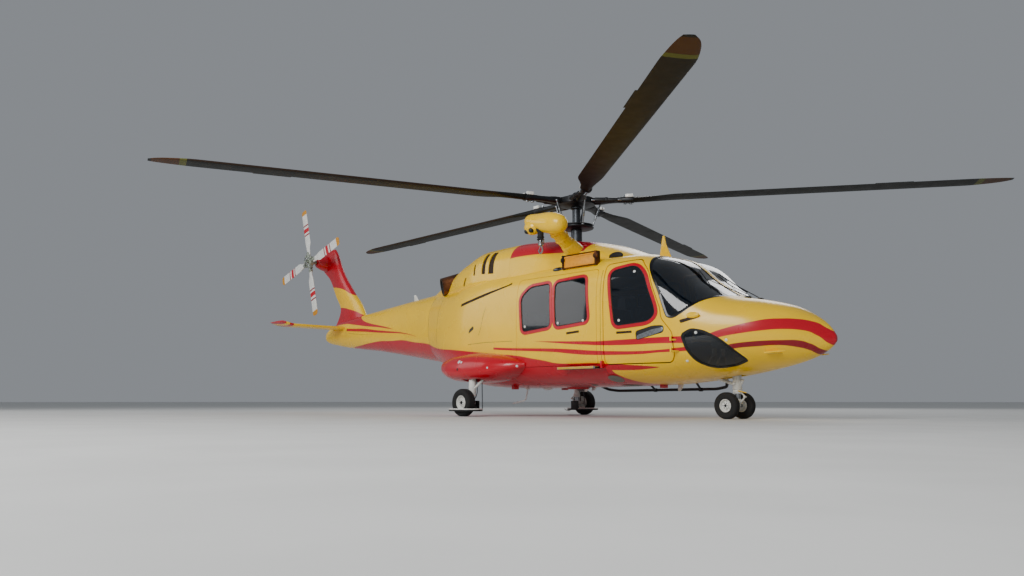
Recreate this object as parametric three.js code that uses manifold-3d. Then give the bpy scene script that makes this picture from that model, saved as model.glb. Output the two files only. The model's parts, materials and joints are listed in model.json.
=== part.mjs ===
// Medium twin-engined rescue helicopter with five main rotor blades, parked on its wheels.
// Millimetres, +X towards the nose, +Y to the left, +Z up, ground at z = 0.
// Everything is drawn from the rotor mast, and the whole group is then moved by MAST_X,
// so that the origin lies on the ground under the middle of the machine's outline.
import * as THREE from "three";
import { mergeVertices } from "three/addons/utils/BufferGeometryUtils.js";
import Module from "manifold-3d";

const wasm = await Module();
wasm.setup();

// Driving dimensions
const MAST_X = 1900;
const SEAT_GAP = 0.3;
const WALL = 40;
const SHELL_AFT = -3400;
const TAIL_END = -8200;
const COWL_END = -4000;
const COWL_SPLIT = -700;
const HUB_Z = 3700;
const BLADE_REACH = 6900;
const BLADE_COUNT = 5;
const BLADE_FIRST_AZIMUTH = 35;
const GRIP_REACH = 1000;
const MAST_R = 100;
const TAIL_HUB = { x: -8280, y: -500, z: 3580 };
const TAIL_BLADE_REACH = 1350;
const TAIL_BLADE_COUNT = 4;
const TAIL_FIRST_ANGLE = 17;
const FLOOR_TOP = 760;
const BULKHEAD_X = -1550;
const NOSE_GEAR = { x: 3100, trail: 50, tyreR: 190, tyreWidth: 120, spread: 205 };
const MAIN_GEAR = { x: -1230, y: 1500, tyreR: 230, tyreWidth: 170 };
const DOOR_GAP = 14;
const HOIST = { x: 560, y: -1330, z: 3060 };
const HINGE = { x: 2735, y: 1065, low: 960 };

// Sections of the hull: x, lowest z, z of the greatest width, highest z, half width,
// and the powers that square off the lower and upper corners.
const HULL = [
  [-3400, 1000, 1700, 2420, 620, 2.6, 2.4],
  [-2500, 690, 1500, 2450, 930, 2.9, 3.0],
  [-1700, 510, 1300, 2490, 1095, 3.2, 4.0],
  [-1000, 480, 1250, 2500, 1130, 3.4, 4.8],
  [1000, 490, 1210, 2500, 1130, 3.4, 4.8],
  [1900, 510, 1220, 2480, 1115, 3.3, 4.6],
  [2400, 540, 1235, 2360, 1070, 3.0, 4.0],
  [2900, 580, 1225, 1975, 970, 2.6, 3.2],
  [3300, 630, 1215, 1740, 840, 2.3, 2.8],
  [3700, 690, 1200, 1650, 670, 2.1, 2.6],
  [4050, 760, 1170, 1550, 465, 2.0, 2.4],
  [4350, 850, 1130, 1395, 250, 2.0, 2.2],
  [4540, 950, 1090, 1240, 95, 2.0, 2.0],
  [4620, 1030, 1075, 1120, 25, 2.0, 2.0],
];
const BOOM = [
  [TAIL_END, 1690, 1790, 1890, 40, 2, 2],
  [-8050, 1630, 1800, 1960, 90, 2, 2],
  [-7700, 1565, 1820, 2060, 155, 2.1, 2.1],
  [-7200, 1490, 1830, 2130, 225, 2.2, 2.2],
  [-5800, 1340, 1800, 2250, 330, 2.3, 2.3],
  [-4500, 1160, 1750, 2350, 450, 2.4, 2.4],
  [-3400, 1000, 1700, 2420, 620, 2.6, 2.4],
];
const COWL = [
  [COWL_END, 2100, 2220, 2350, 150, 2, 2],
  [-3700, 2100, 2250, 2420, 280, 2, 2.2],
  [-3300, 2050, 2300, 2530, 440, 2, 2.3],
  [-2900, 2000, 2340, 2660, 610, 2, 2.4],
  [-2500, 2000, 2360, 2755, 750, 2, 2.5],
  [-2100, 2000, 2370, 2880, 870, 2, 2.7],
  [-1500, 2000, 2370, 3000, 950, 2, 3.3],
  [-700, 2000, 2360, 3010, 950, 2, 3.4],
  [-200, 2000, 2360, 2985, 930, 2, 3.2],
  [400, 2050, 2360, 2920, 870, 2, 2.8],
  [1000, 2100, 2350, 2790, 760, 2, 2.4],
  [1500, 2150, 2340, 2600, 600, 2, 2.3],
  [1900, 2200, 2330, 2430, 380, 2, 2],
];
const SPONSON = [
  // x, lowest z, z of greatest width, highest z, half width about SPONSON_Y
  [-2350, 880, 920, 960, 60, 2, 2],
  [-2150, 690, 830, 1000, 260, 2.2, 2.2],
  [-1700, 590, 790, 1060, 440, 2.6, 2.4],
  [-1200, 570, 780, 1080, 500, 2.8, 2.4],
  [-800, 590, 790, 1050, 470, 2.6, 2.4],
  [-400, 680, 820, 980, 330, 2.2, 2.2],
  [-150, 800, 850, 900, 120, 2, 2],
];
const SPONSON_Y = 1000;

// Outlines seen from the side, as x and z
const COCKPIT_DOOR = [
  [1560, 800], [2640, 800], [2720, 900], [2720, 1200], [2550, 1420],
  [2540, 1560], [2310, 2120], [2120, 2330], [1560, 2300],
];
const COCKPIT_WINDOW = [
  [1760, 1345], [2350, 1380], [2475, 1480], [2440, 1640], [2255, 2100], [2080, 2250], [1655, 2190],
];
const CABIN_DOOR = [[-330, 800], [1420, 800], [1420, 2250], [-330, 2250]];
const CABIN_WINDOWS = {
  aft: [[-190, 1370], [455, 1425], [420, 2130], [-40, 2110], [-235, 1950]],
  fore: [[560, 1410], [1250, 1460], [1180, 2155], [530, 2125]],
};
const WINDSCREEN = [
  [2640, 1420], [2740, 1400], [2870, 1470], [3110, 1650], [3370, 1760],
  [3500, 2600], [2130, 2600], [2290, 2200], [2500, 1810], [2610, 1490],
];
const WINDSCREEN_POST = 35;
const CHIN_WINDOW = [
  [2840, 1180], [2990, 1260], [3170, 1220], [3370, 1100], [3510, 950], [3620, 800],
  [3430, 735], [3230, 705], [3100, 710], [2970, 790], [2890, 960],
];
const CHIN_POST = 260;
const DOOR_RADIUS = 60;
const CABIN_DOOR_RADIUS = 80;
const COCKPIT_WINDOW_RADIUS = 110;
const WINDOW_RADIUS = 90;
const CHIN_RADIUS = 60;
// Louvred slots in the engine cowling, seen from the side
const LOUVRES = [
  [[-1430, 2490], [-1330, 2480], [-1330, 2860], [-1430, 2860]],
  [[-1250, 2475], [-1110, 2465], [-1110, 2860], [-1250, 2860]],
  [[-1660, 2490], [-1610, 2485], [-1610, 2690], [-1660, 2690]],
  [[-2010, 2330], [-1960, 2330], [-1890, 2480], [-1940, 2480]],
];

// Fin sections: z, leading edge x, trailing edge x, thickness
const FIN = [
  [1850, -6350, -7950, 190],
  [2400, -6680, -7620, 180],
  [2750, -7040, -7850, 165],
  [3170, -7440, -8130, 150],
  [3450, -7640, -8480, 140],
  [3750, -7800, -8700, 125],
  [3900, -7930, -8760, 90],
];

// Blade sections: reach from the mast, chord, thickness, how far the quarter chord is swept back
const MAIN_BLADE = [
  [GRIP_REACH + SEAT_GAP, 170, 100, 0],
  [1250, 220, 90, 0],
  [1750, 400, 52, 0],
  [6250, 400, 44, 0],
  [6550, 340, 32, 25],
  [6780, 240, 20, 70],
  [BLADE_REACH, 120, 10, 125],
];
const TAIL_BLADE = [
  [100, 90, 60, 0],
  [330, 120, 40, 0],
  [480, 210, 30, 0],
  [1300, 210, 20, 0],
  [TAIL_BLADE_REACH, 150, 12, 20],
];

// Materials
const paint = (color) => new THREE.MeshStandardMaterial({ color, roughness: 0.25, metalness: 0 });
const YELLOW = () => paint(0xf5b301);
const RED = () => paint(0xb3122a);
const WHITE = () => paint(0xe6e6e2);
const BLACK = () => new THREE.MeshStandardMaterial({ color: 0x17181b, roughness: 0.5, metalness: 0.1 });
const GLASS = () => new THREE.MeshStandardMaterial({
  color: 0x1b242c, roughness: 0.05, metalness: 0, transparent: true, opacity: 0.5,
});
const STEEL = () => new THREE.MeshStandardMaterial({ color: 0x8f9296, roughness: 0.4, metalness: 0.9 });
const RUBBER = () => new THREE.MeshStandardMaterial({ color: 0x141414, roughness: 0.85, metalness: 0 });
const FABRIC = () => new THREE.MeshStandardMaterial({ color: 0x2b2d33, roughness: 0.9, metalness: 0 });
const BURNT = () => new THREE.MeshStandardMaterial({ color: 0x6b4a36, roughness: 0.45, metalness: 0.8 });

// Solids

// A closed three.js geometry, with an optional matrix, as a solid.
function solidOf(geometry, matrix) {
  const bare = geometry.clone();
  bare.deleteAttribute("normal");
  bare.deleteAttribute("uv");
  if (matrix) bare.applyMatrix4(matrix);
  const merged = mergeVertices(bare, 1e-3);
  const triVerts = new Uint32Array(merged.index.array);
  const vertProperties = merged.attributes.position.array;
  const mesh = () => new wasm.Mesh({ numProp: 3, vertProperties, triVerts });
  const solid = new wasm.Manifold(mesh());
  if (solid.volume() >= 0) return solid;
  for (let i = 0; i < triVerts.length; i += 3) {
    [triVerts[i + 1], triVerts[i + 2]] = [triVerts[i + 2], triVerts[i + 1]];
  }
  return new wasm.Manifold(mesh());
}

function geometryOf(solid) {
  const mesh = solid.getMesh();
  const geometry = new THREE.BufferGeometry();
  const points = new Float32Array(mesh.numVert * 3);
  for (let i = 0; i < mesh.numVert; i++) {
    for (let k = 0; k < 3; k++) points[3 * i + k] = mesh.vertProperties[mesh.numProp * i + k];
  }
  geometry.setAttribute("position", new THREE.BufferAttribute(points, 3));
  geometry.setIndex(new THREE.BufferAttribute(new Uint32Array(mesh.triVerts), 1));
  geometry.computeVertexNormals();
  return geometry;
}

// Rings of equally many points, joined into one closed geometry with flat ends.
function ringGeometry(rings) {
  const around = rings[0].length;
  const points = rings.flat();
  const faces = [];
  for (let i = 0; i + 1 < rings.length; i++) {
    for (let j = 0; j < around; j++) {
      const a = i * around + j;
      const b = i * around + ((j + 1) % around);
      faces.push(a, b, b + around, a, b + around, a + around);
    }
  }
  for (const [ring, first, turn] of [[rings[0], 0, 1], [rings.at(-1), (rings.length - 1) * around, -1]]) {
    const middle = points.length;
    points.push([0, 1, 2].map((k) => ring.reduce((sum, p) => sum + p[k], 0) / around));
    for (let j = 0; j < around; j++) {
      const next = first + ((j + 1) % around);
      if (turn > 0) faces.push(middle, next, first + j);
      else faces.push(middle, first + j, next);
    }
  }
  const geometry = new THREE.BufferGeometry();
  geometry.setAttribute("position", new THREE.Float32BufferAttribute(points.flat(), 3));
  geometry.setIndex(faces);
  return geometry;
}

// A row of a section table at any x: a smooth curve through each column that never overshoots.
function sectionAt(table, x) {
  const last = table.length - 1;
  const rise = (i, c) => (table[i + 1][c] - table[i][c]) / (table[i + 1][0] - table[i][0]);
  const slope = (i, c) => {
    if (i === 0) return rise(0, c);
    if (i === last) return rise(last - 1, c);
    const before = rise(i - 1, c);
    const after = rise(i, c);
    return before * after <= 0 ? 0 : (2 * before * after) / (before + after);
  };
  let i = 0;
  while (i < last - 1 && x > table[i + 1][0]) i++;
  const width = table[i + 1][0] - table[i][0];
  const t = (x - table[i][0]) / width;
  return table[i].map((start, c) => {
    if (c === 0) return x;
    const end = table[i + 1][c];
    return (
      start * (1 + 2 * t) * (1 - t) ** 2 +
      slope(i, c) * width * t * (1 - t) ** 2 +
      end * t * t * (3 - 2 * t) +
      slope(i + 1, c) * width * t * t * (t - 1)
    );
  });
}

// One ring of a section: two half superellipses that share their greatest width.
function sectionRing([x, low, wide, high, half, lowPower, highPower], around, inset, middleY) {
  const ring = [];
  for (let j = 0; j < around; j++) {
    const angle = (2 * Math.PI * j) / around;
    const down = Math.cos(angle);
    const out = Math.sin(angle);
    const power = 2 / (down > 0 ? lowPower : highPower);
    const reach = down > 0 ? wide - low - inset : high - wide - inset;
    const y = middleY + Math.sign(out) * (half - inset) * Math.abs(out) ** power;
    ring.push([x, y, wide - Math.sign(down) * reach * Math.abs(down) ** power]);
  }
  return ring;
}

// A body lofted through a section table between two x places, inset all round.
function loft(table, { around = 28, inset = 0, from, to, steps, middleY = 0 }) {
  const start = from ?? table[0][0];
  const end = to ?? table.at(-1)[0];
  const places = new Set([start, end]);
  for (const row of table) if (row[0] > start && row[0] < end) places.add(row[0]);
  if (steps) for (const x of steps) if (x > start && x < end) places.add(x);
  const rings = [...places].sort((a, b) => a - b)
    .map((x) => sectionRing(sectionAt(table, x), around, inset, middleY));
  return solidOf(ringGeometry(rings));
}

const HULL_STEPS = [-2100, 2150, 2650, 3100, 3500, 3875, 4200, 4450, 4590];
const hull = (inset, extra = {}) => loft(HULL, { inset, steps: HULL_STEPS, ...extra });

function box(x0, x1, y0, y1, z0, z1) {
  const geometry = new THREE.BoxGeometry(x1 - x0, y1 - y0, z1 - z0);
  geometry.translate((x0 + x1) / 2, (y0 + y1) / 2, (z0 + z1) / 2);
  return solidOf(geometry);
}

const UP = new THREE.Vector3(0, 1, 0);
const NO_SCALE = new THREE.Vector3(1, 1, 1);

// A round bar between two points, which may taper.
function bar(from, to, radius, endRadius = radius, sides = 16) {
  const a = new THREE.Vector3(...from);
  const b = new THREE.Vector3(...to);
  const along = b.clone().sub(a);
  const geometry = new THREE.CylinderGeometry(endRadius, radius, along.length(), sides);
  const turn = new THREE.Quaternion().setFromUnitVectors(UP, along.clone().normalize());
  const middle = a.add(b).multiplyScalar(0.5);
  return solidOf(geometry, new THREE.Matrix4().compose(middle, turn, NO_SCALE));
}

// A profile of radius and height turned about an axis through a point.
function turned(profile, point, axis, sides = 32) {
  const closed = profile.map(([r, h]) => new THREE.Vector2(r, h));
  if (profile[0][0] > 0) closed.push(closed[0].clone());
  const geometry = new THREE.LatheGeometry(closed, sides);
  const turn = new THREE.Quaternion().setFromUnitVectors(UP, new THREE.Vector3(...axis));
  return solidOf(geometry, new THREE.Matrix4().compose(new THREE.Vector3(...point), turn, NO_SCALE));
}

// A closed outline of straight edges with rounded corners, as a Shape.
function rounded(points, radius) {
  const shape = new THREE.Shape();
  const corner = (i) => new THREE.Vector2(...points[(i + points.length) % points.length]);
  for (let i = 0; i < points.length; i++) {
    const here = corner(i);
    const before = corner(i - 1).sub(here);
    const after = corner(i + 1).sub(here);
    const start = here.clone().add(before.clone().setLength(Math.min(radius, before.length() * 0.45)));
    const end = here.clone().add(after.clone().setLength(Math.min(radius, after.length() * 0.45)));
    if (i === 0) shape.moveTo(start.x, start.y);
    else shape.lineTo(start.x, start.y);
    shape.quadraticCurveTo(here.x, here.y, end.x, end.y);
  }
  shape.closePath();
  return shape;
}

// An outline grown by a distance, edge by edge.
function grown(points, distance) {
  const centre = [0, 1].map((k) => points.reduce((sum, p) => sum + p[k], 0) / points.length);
  const lines = points.map((p, i) => {
    const q = points[(i + 1) % points.length];
    const length = Math.hypot(q[0] - p[0], q[1] - p[1]);
    let normal = [(q[1] - p[1]) / length, -(q[0] - p[0]) / length];
    let offset = normal[0] * p[0] + normal[1] * p[1];
    if (normal[0] * centre[0] + normal[1] * centre[1] > offset) {
      normal = [-normal[0], -normal[1]];
      offset = -offset;
    }
    return [normal, offset + distance];
  });
  return points.map((_, i) => {
    const [m, c] = lines[(i + lines.length - 1) % lines.length];
    const [n, d] = lines[i];
    const cross = m[0] * n[1] - m[1] * n[0];
    return [(c * n[1] - d * m[1]) / cross, (m[0] * d - n[0] * c) / cross];
  });
}

// A side view outline extruded across the machine from one y to another, on one side (1 left, -1 right).
function sidePrism(points, radius, near, far, side) {
  const geometry = new THREE.ExtrudeGeometry(rounded(points, radius), {
    depth: far - near, bevelEnabled: false, curveSegments: 3,
  });
  const turn = new THREE.Matrix4().makeRotationX(Math.PI / 2);
  const shift = new THREE.Matrix4().makeTranslation(0, side > 0 ? far : -near, 0);
  return solidOf(geometry, shift.multiply(turn));
}

// A plan view outline extruded upwards.
function plate(points, radius, low, high) {
  const geometry = new THREE.ExtrudeGeometry(rounded(points, radius), {
    depth: high - low, bevelEnabled: false, curveSegments: 4,
  });
  return solidOf(geometry, new THREE.Matrix4().makeTranslation(0, 0, low));
}

// A round tube along a smooth curve through points.
function tube(points, radius, steps, halfSides = 4) {
  const circle = new THREE.Shape();
  circle.absarc(0, 0, radius, 0, 2 * Math.PI);
  const knots = points.map((p) => new THREE.Vector3(...p));
  const extrudePath = new THREE.CatmullRomCurve3(knots, false, "catmullrom", 0.2);
  return solidOf(new THREE.ExtrudeGeometry(circle, { steps, extrudePath, curveSegments: halfSides }));
}

// A wing section of unit chord: leading edge at 0, trailing edge at 1, and half thickness at each place.
const WING_PLACES = [0, 0.03, 0.12, 0.3, 0.55, 0.8, 1];
const WING_HALF = [0, 0.3, 0.45, 0.5, 0.38, 0.2, 0.03];
function wingRing(point) {
  const upper = WING_PLACES.map((u, i) => point(u, WING_HALF[i]));
  const lower = WING_PLACES.map((u, i) => point(u, -WING_HALF[i])).slice(1).reverse();
  return upper.concat(lower);
}

// Parts
const helicopter = new THREE.Group();
helicopter.position.set(MAST_X, 0, 0);

function add(name, solid, material) {
  const mesh = new THREE.Mesh(geometryOf(solid), material);
  mesh.name = name;
  helicopter.add(mesh);
}

const SIDES = [["left", 1], ["right", -1]];

// The hull wall, open at its aft end
const hullOuter = hull(0);
const room = (inset) => loft(HULL, {
  inset, around: 24, from: SHELL_AFT - 1, to: 4480, steps: [2650, 3100],
});
const wall = hullOuter.subtract(room(WALL));
const hullSeat = hull(-SEAT_GAP);
const paneSkin = (inset) => loft(HULL, { around: 24, inset, steps: [3100] });
const paneLayer = paneSkin(8).subtract(paneSkin(16));
// How far from the centre plane the side cuts start and end
const NEAR = 400;
const FAR = 1400;

// The cut for a window on either side, grown by a distance; near is its edge towards the centre plane
const cutter = (outline, radius, near) => (side, grow = 0) =>
  sidePrism(grown(outline, grow), radius, near - grow, FAR, side);
const windowCut = {
  cockpit: cutter(COCKPIT_WINDOW, COCKPIT_WINDOW_RADIUS, NEAR),
  aft: cutter(CABIN_WINDOWS.aft, WINDOW_RADIUS, NEAR),
  fore: cutter(CABIN_WINDOWS.fore, WINDOW_RADIUS, NEAR),
  windscreen: cutter(WINDSCREEN, WINDOW_RADIUS, WINDSCREEN_POST),
  chin: cutter(CHIN_WINDOW, CHIN_RADIUS, CHIN_POST),
};

// Hinge line of a cockpit door at a height: it stands upright, just outside the skin.
const hingePoint = (side, z) => [HINGE.x, side * HINGE.y, z];
const HINGE_EYE = 34;
const HINGE_R = 15;
const HINGE_ARM = 135;
const HINGE_PITCH = 160;
function hingeEye(side, height, above, below, armX) {
  const eye = bar(hingePoint(side, height + below), hingePoint(side, height + above), HINGE_R, HINGE_R, 12);
  const middle = hingePoint(side, height + (above + below) / 2);
  const foot = [armX, middle[1] - side * HINGE_ARM, middle[2]];
  return eye.add(bar(middle, foot, HINGE_R - 3, HINGE_R - 3, 8));
}

let shell = wall;
for (const [sideName, side] of SIDES) {
  const doorCut = sidePrism(COCKPIT_DOOR, DOOR_RADIUS, NEAR, FAR, side);
  let door = wall.intersect(doorCut).subtract(windowCut.cockpit(side));
  const opening = grown(COCKPIT_DOOR, DOOR_GAP);
  shell = shell.subtract(sidePrism(opening, DOOR_RADIUS + DOOR_GAP / 2, NEAR, FAR, side));
  for (const height of [HINGE.low, HINGE.low + HINGE_PITCH]) {
    door = door.add(hingeEye(side, height, HINGE_EYE, 0, HINGE.x - 60));
    shell = shell.add(hingeEye(side, height, -SEAT_GAP, -HINGE_EYE, HINGE.x + 50));
  }
  add(`cockpit_door_${sideName}`, door, YELLOW());
  add(`cockpit_door_window_${sideName}`, paneLayer.intersect(windowCut.cockpit(side, -SEAT_GAP)), GLASS());

  const cabinDoor = wall.intersect(sidePrism(CABIN_DOOR, CABIN_DOOR_RADIUS, NEAR, FAR, side))
    .subtract(windowCut.aft(side)).subtract(windowCut.fore(side));
  shell = shell.subtract(sidePrism(grown(CABIN_DOOR, SEAT_GAP), CABIN_DOOR_RADIUS, NEAR, FAR, side))
    .subtract(windowCut.windscreen(side)).subtract(windowCut.chin(side));
  add(`cabin_door_${sideName}`, cabinDoor, YELLOW());
  for (const place of ["aft", "fore"]) {
    const pane = paneLayer.intersect(windowCut[place](side, -SEAT_GAP));
    add(`cabin_window_${place}_${sideName}`, pane, GLASS());
  }
  add(`windscreen_${sideName}`, paneLayer.intersect(windowCut.windscreen(side, -SEAT_GAP)), GLASS());
  add(`chin_window_${sideName}`, paneLayer.intersect(windowCut.chin(side, -SEAT_GAP)), GLASS());
}

// Pitot fins on the nose, small swept blades that each carry a forward tube
for (const [, side] of SIDES) {
  const outline = [[3840, side * 380], [4040, side * 300], [4000, side * 590], [3900, side * 600]];
  const fin = plate(outline, 12, 880, 906);
  shell = shell.add(fin.add(bar([3900, side * 585, 893], [4210, side * 585, 905], 14, 9, 10)));
}

// Flat pads under the belly: cargo hook hard point and three jacking points
const PAD_Z = 455;
shell = shell.add(box(-130, 130, -130, 130, PAD_Z, 500));
const JACK_PADS = [[1800, 0], [-900, 620], [-900, -620]];
for (const [x, y] of JACK_PADS) shell = shell.add(box(x - 45, x + 45, y - 45, y + 45, PAD_Z, 535));
add("fuselage_shell", shell, YELLOW());

// Floor, bulkhead and cockpit furniture
const roomInside = room(WALL + SEAT_GAP);
const ON_FLOOR = FLOOR_TOP + SEAT_GAP;
const floorSlab = box(BULKHEAD_X, 3050, -1200, 1200, FLOOR_TOP - 60, FLOOR_TOP);
add("cabin_floor", roomInside.intersect(floorSlab), BLACK());
const bulkheadSlab = box(BULKHEAD_X - 40, BULKHEAD_X - SEAT_GAP, -1200, 1200, 400, 2500);
add("rear_bulkhead", roomInside.intersect(bulkheadSlab), WHITE());
const CONSOLE_HALF = 130;
const console = box(2350, 2800, -CONSOLE_HALF, CONSOLE_HALF, ON_FLOOR, 1060);
const pedestal = box(2780, 3000, -CONSOLE_HALF, CONSOLE_HALF, ON_FLOOR, 1180);
const dashboard = box(2790, 3060, -580, 580, 1130, 1480);
add("instrument_panel", roomInside.intersect(dashboard.add(pedestal).add(console)), BLACK());

// A seat on its foot: pan, back and head rest, facing +X (1) or -X (-1)
function seat(x, y, width, deep, facing) {
  const z = ON_FLOOR;
  const pan = box(x - deep / 2, x + deep / 2, y - width / 2, y + width / 2, z + 260, z + 400);
  const foot = box(x - deep / 3, x + deep / 3, y - width / 3, y + width / 3, z, z + 280);
  const backX = x - facing * (deep / 2);
  const back = box(backX - 70, backX + 70, y - width / 2, y + width / 2, z + 270, z + 930);
  const head = box(backX - 50, backX + 50, y - 130, y + 130, z + 900, z + 1130);
  return pan.add(foot).add(back).add(head);
}
for (const [sideName, side] of SIDES) {
  add(`pilot_seat_${sideName}`, seat(2050, side * 480, 480, 480, 1), FABRIC());
}
for (const [name, x, facing] of [["cabin_seats_aft", -1150, 1], ["cabin_seats_fore", 1150, -1]]) {
  add(name, roomInside.intersect(seat(x, 0, 1840, 440, facing)), FABRIC());
}

// Engines and gearbox, plain blocks joined by their drive shafts
const ENGINE = { y: 420, half: 220, aft: -1900, fore: -700, low: 2440, high: 2740 };
const GEARBOX_TOP = 2780;
let power = box(-420, 480, -420, 420, 2460, GEARBOX_TOP);
for (const [, side] of SIDES) {
  const [near, far] = [side * ENGINE.y - ENGINE.half, side * ENGINE.y + ENGINE.half];
  const engine = box(ENGINE.aft, ENGINE.fore, near, far, ENGINE.low, ENGINE.high);
  power = power.add(engine).add(bar([-800, side * 400, 2600], [-300, side * 300, 2600], 70));
}
add("engines_and_gearbox", power.subtract(hullSeat), STEEL());

// Mast fairing and engine cowling on the roof, hollow and open below
const boomOuter = loft(BOOM, { steps: [-6500, -3950] });
const boomSeat = loft(BOOM, { inset: -SEAT_GAP, steps: [-6500, -3950] });
const COWL_WALL = 25;
const COWL_STEPS = [-2300, -1800, 700, 1250];
const cowlPiece = (from, to, inside) => {
  const outer = loft(COWL, { from, to, steps: COWL_STEPS });
  const space = loft(COWL, { from: inside[0], to: inside[1], around: 24, inset: COWL_WALL });
  return outer.subtract(space).subtract(hullSeat).subtract(boomSeat);
};
// The largest piece of a solid that its seat has cut into several
const largest = (solid) => solid.decompose().sort((a, b) => b.volume() - a.volume())[0];
const mastHole = bar([0, 0, 2700], [0, 0, 3200], MAST_R + 45, MAST_R + 45, 28);
const fairing = cowlPiece(COWL_SPLIT + SEAT_GAP, 1900, [COWL_SPLIT - 5, 1500]);
add("mast_fairing", largest(fairing.subtract(mastHole)), RED());
// The louvred slots are sunk into the cowling's wall, short of its inner face
const SLOT_DEPTH = 16;
const underSlots = loft(COWL, { inset: SLOT_DEPTH, steps: COWL_STEPS });
let cowling = cowlPiece(COWL_END, COWL_SPLIT, [-3250, COWL_SPLIT + 5]);
for (const [, side] of SIDES) {
  for (const outline of LOUVRES) {
    const slot = sidePrism(outline, 20, NEAR, FAR, side).subtract(underSlots);
    cowling = cowling.subtract(slot);
  }
}
add("engine_cowling", largest(cowling), YELLOW());

// Exhaust pipes, out of the aft sides of the cowling
const fairingSeat = loft(COWL, { inset: -SEAT_GAP, steps: COWL_STEPS });
const PIPE_R = 170;
const PIPE_WALL = 17;
for (const [sideName, side] of SIDES) {
  const root = new THREE.Vector3(-2050, side * 420, 2580);
  const end = new THREE.Vector3(-3030, side * 710, 2400);
  const boreStart = root.clone().lerp(end, 0.5);
  const boreEnd = root.clone().lerp(end, 1.05);
  const bore = bar(boreStart, boreEnd, PIPE_R - PIPE_WALL, PIPE_R - PIPE_WALL, 20);
  const pipe = bar(root, end, PIPE_R, PIPE_R, 20).subtract(bore);
  const seated = pipe.subtract(fairingSeat).subtract(hullSeat).subtract(boomSeat);
  add(`exhaust_${sideName}`, largest(seated), BURNT());
}

// Tail boom, hollow and open at the front, then fin, stabiliser and gearbox fairing
const boomSpace = loft(BOOM, { inset: 30, from: -7800, around: 20 });
const boom = boomOuter.subtract(boomSpace).subtract(box(SHELL_AFT - SEAT_GAP, 0, -2000, 2000, 0, 4000));
add("tail_boom", boom, YELLOW());

const finRings = FIN.map(([z, front, back, thick]) =>
  wingRing((u, half) => [front + u * (back - front), half * thick, z]));
const finSolid = solidOf(ringGeometry(finRings));
add("tail_fin", finSolid.subtract(boomSeat).subtract(box(-9000, -6000, -900, 900, 0, 2000)), RED());
const finRingsSeat = FIN.map(([z, front, back, thick]) =>
  wingRing((u, half) => [front + u * (back - front), half * (thick + 4 * SEAT_GAP), z]));
const finSeat = solidOf(ringGeometry(finRingsSeat));
const POD_PROFILE = [
  [0, -330], [70, -325], [115, -280], [165, -160], [190, 0], [180, 130], [120, 250], [60, 300], [0, 310],
];
const gearboxPod = turned(POD_PROFILE, [TAIL_HUB.x, 0, TAIL_HUB.z], [0, 1, 0], 24)
  .intersect(box(-9000, -7800, -400, -10, 3000, 4200));
add("tail_gearbox_fairing", largest(gearboxPod.subtract(finSeat)), RED());

const STAB = { z: 1930, front: -7050, chord: 700, thick: 75 };
// Stabiliser sections: distance from the centre plane, sweep of the leading edge, share of thickness lost
const STAB_ROWS = [
  [120, 0, 0],
  [1600, 20, 0],
  [1730, 60, 0.2],
  [1750, 110, 0.5],
];
for (const [sideName, side] of SIDES) {
  const rings = STAB_ROWS.map(([y, sweep, thin]) => wingRing((u, half) => [
    STAB.front - sweep - u * (STAB.chord - sweep * 1.2), side * y, STAB.z - half * STAB.thick * (1 - thin),
  ]));
  add(`stabiliser_${sideName}`, largest(solidOf(ringGeometry(rings)).subtract(boomSeat)), YELLOW());
}

// Sponsons that hold the main gear
const sponson = (side, inset) => loft(SPONSON, {
  around: 20, inset, middleY: side * SPONSON_Y, steps: [-1950, -600],
});
for (const [sideName, side] of SIDES) {
  add(`sponson_${sideName}`, largest(sponson(side, 0).subtract(hullSeat)), RED());
}

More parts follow.
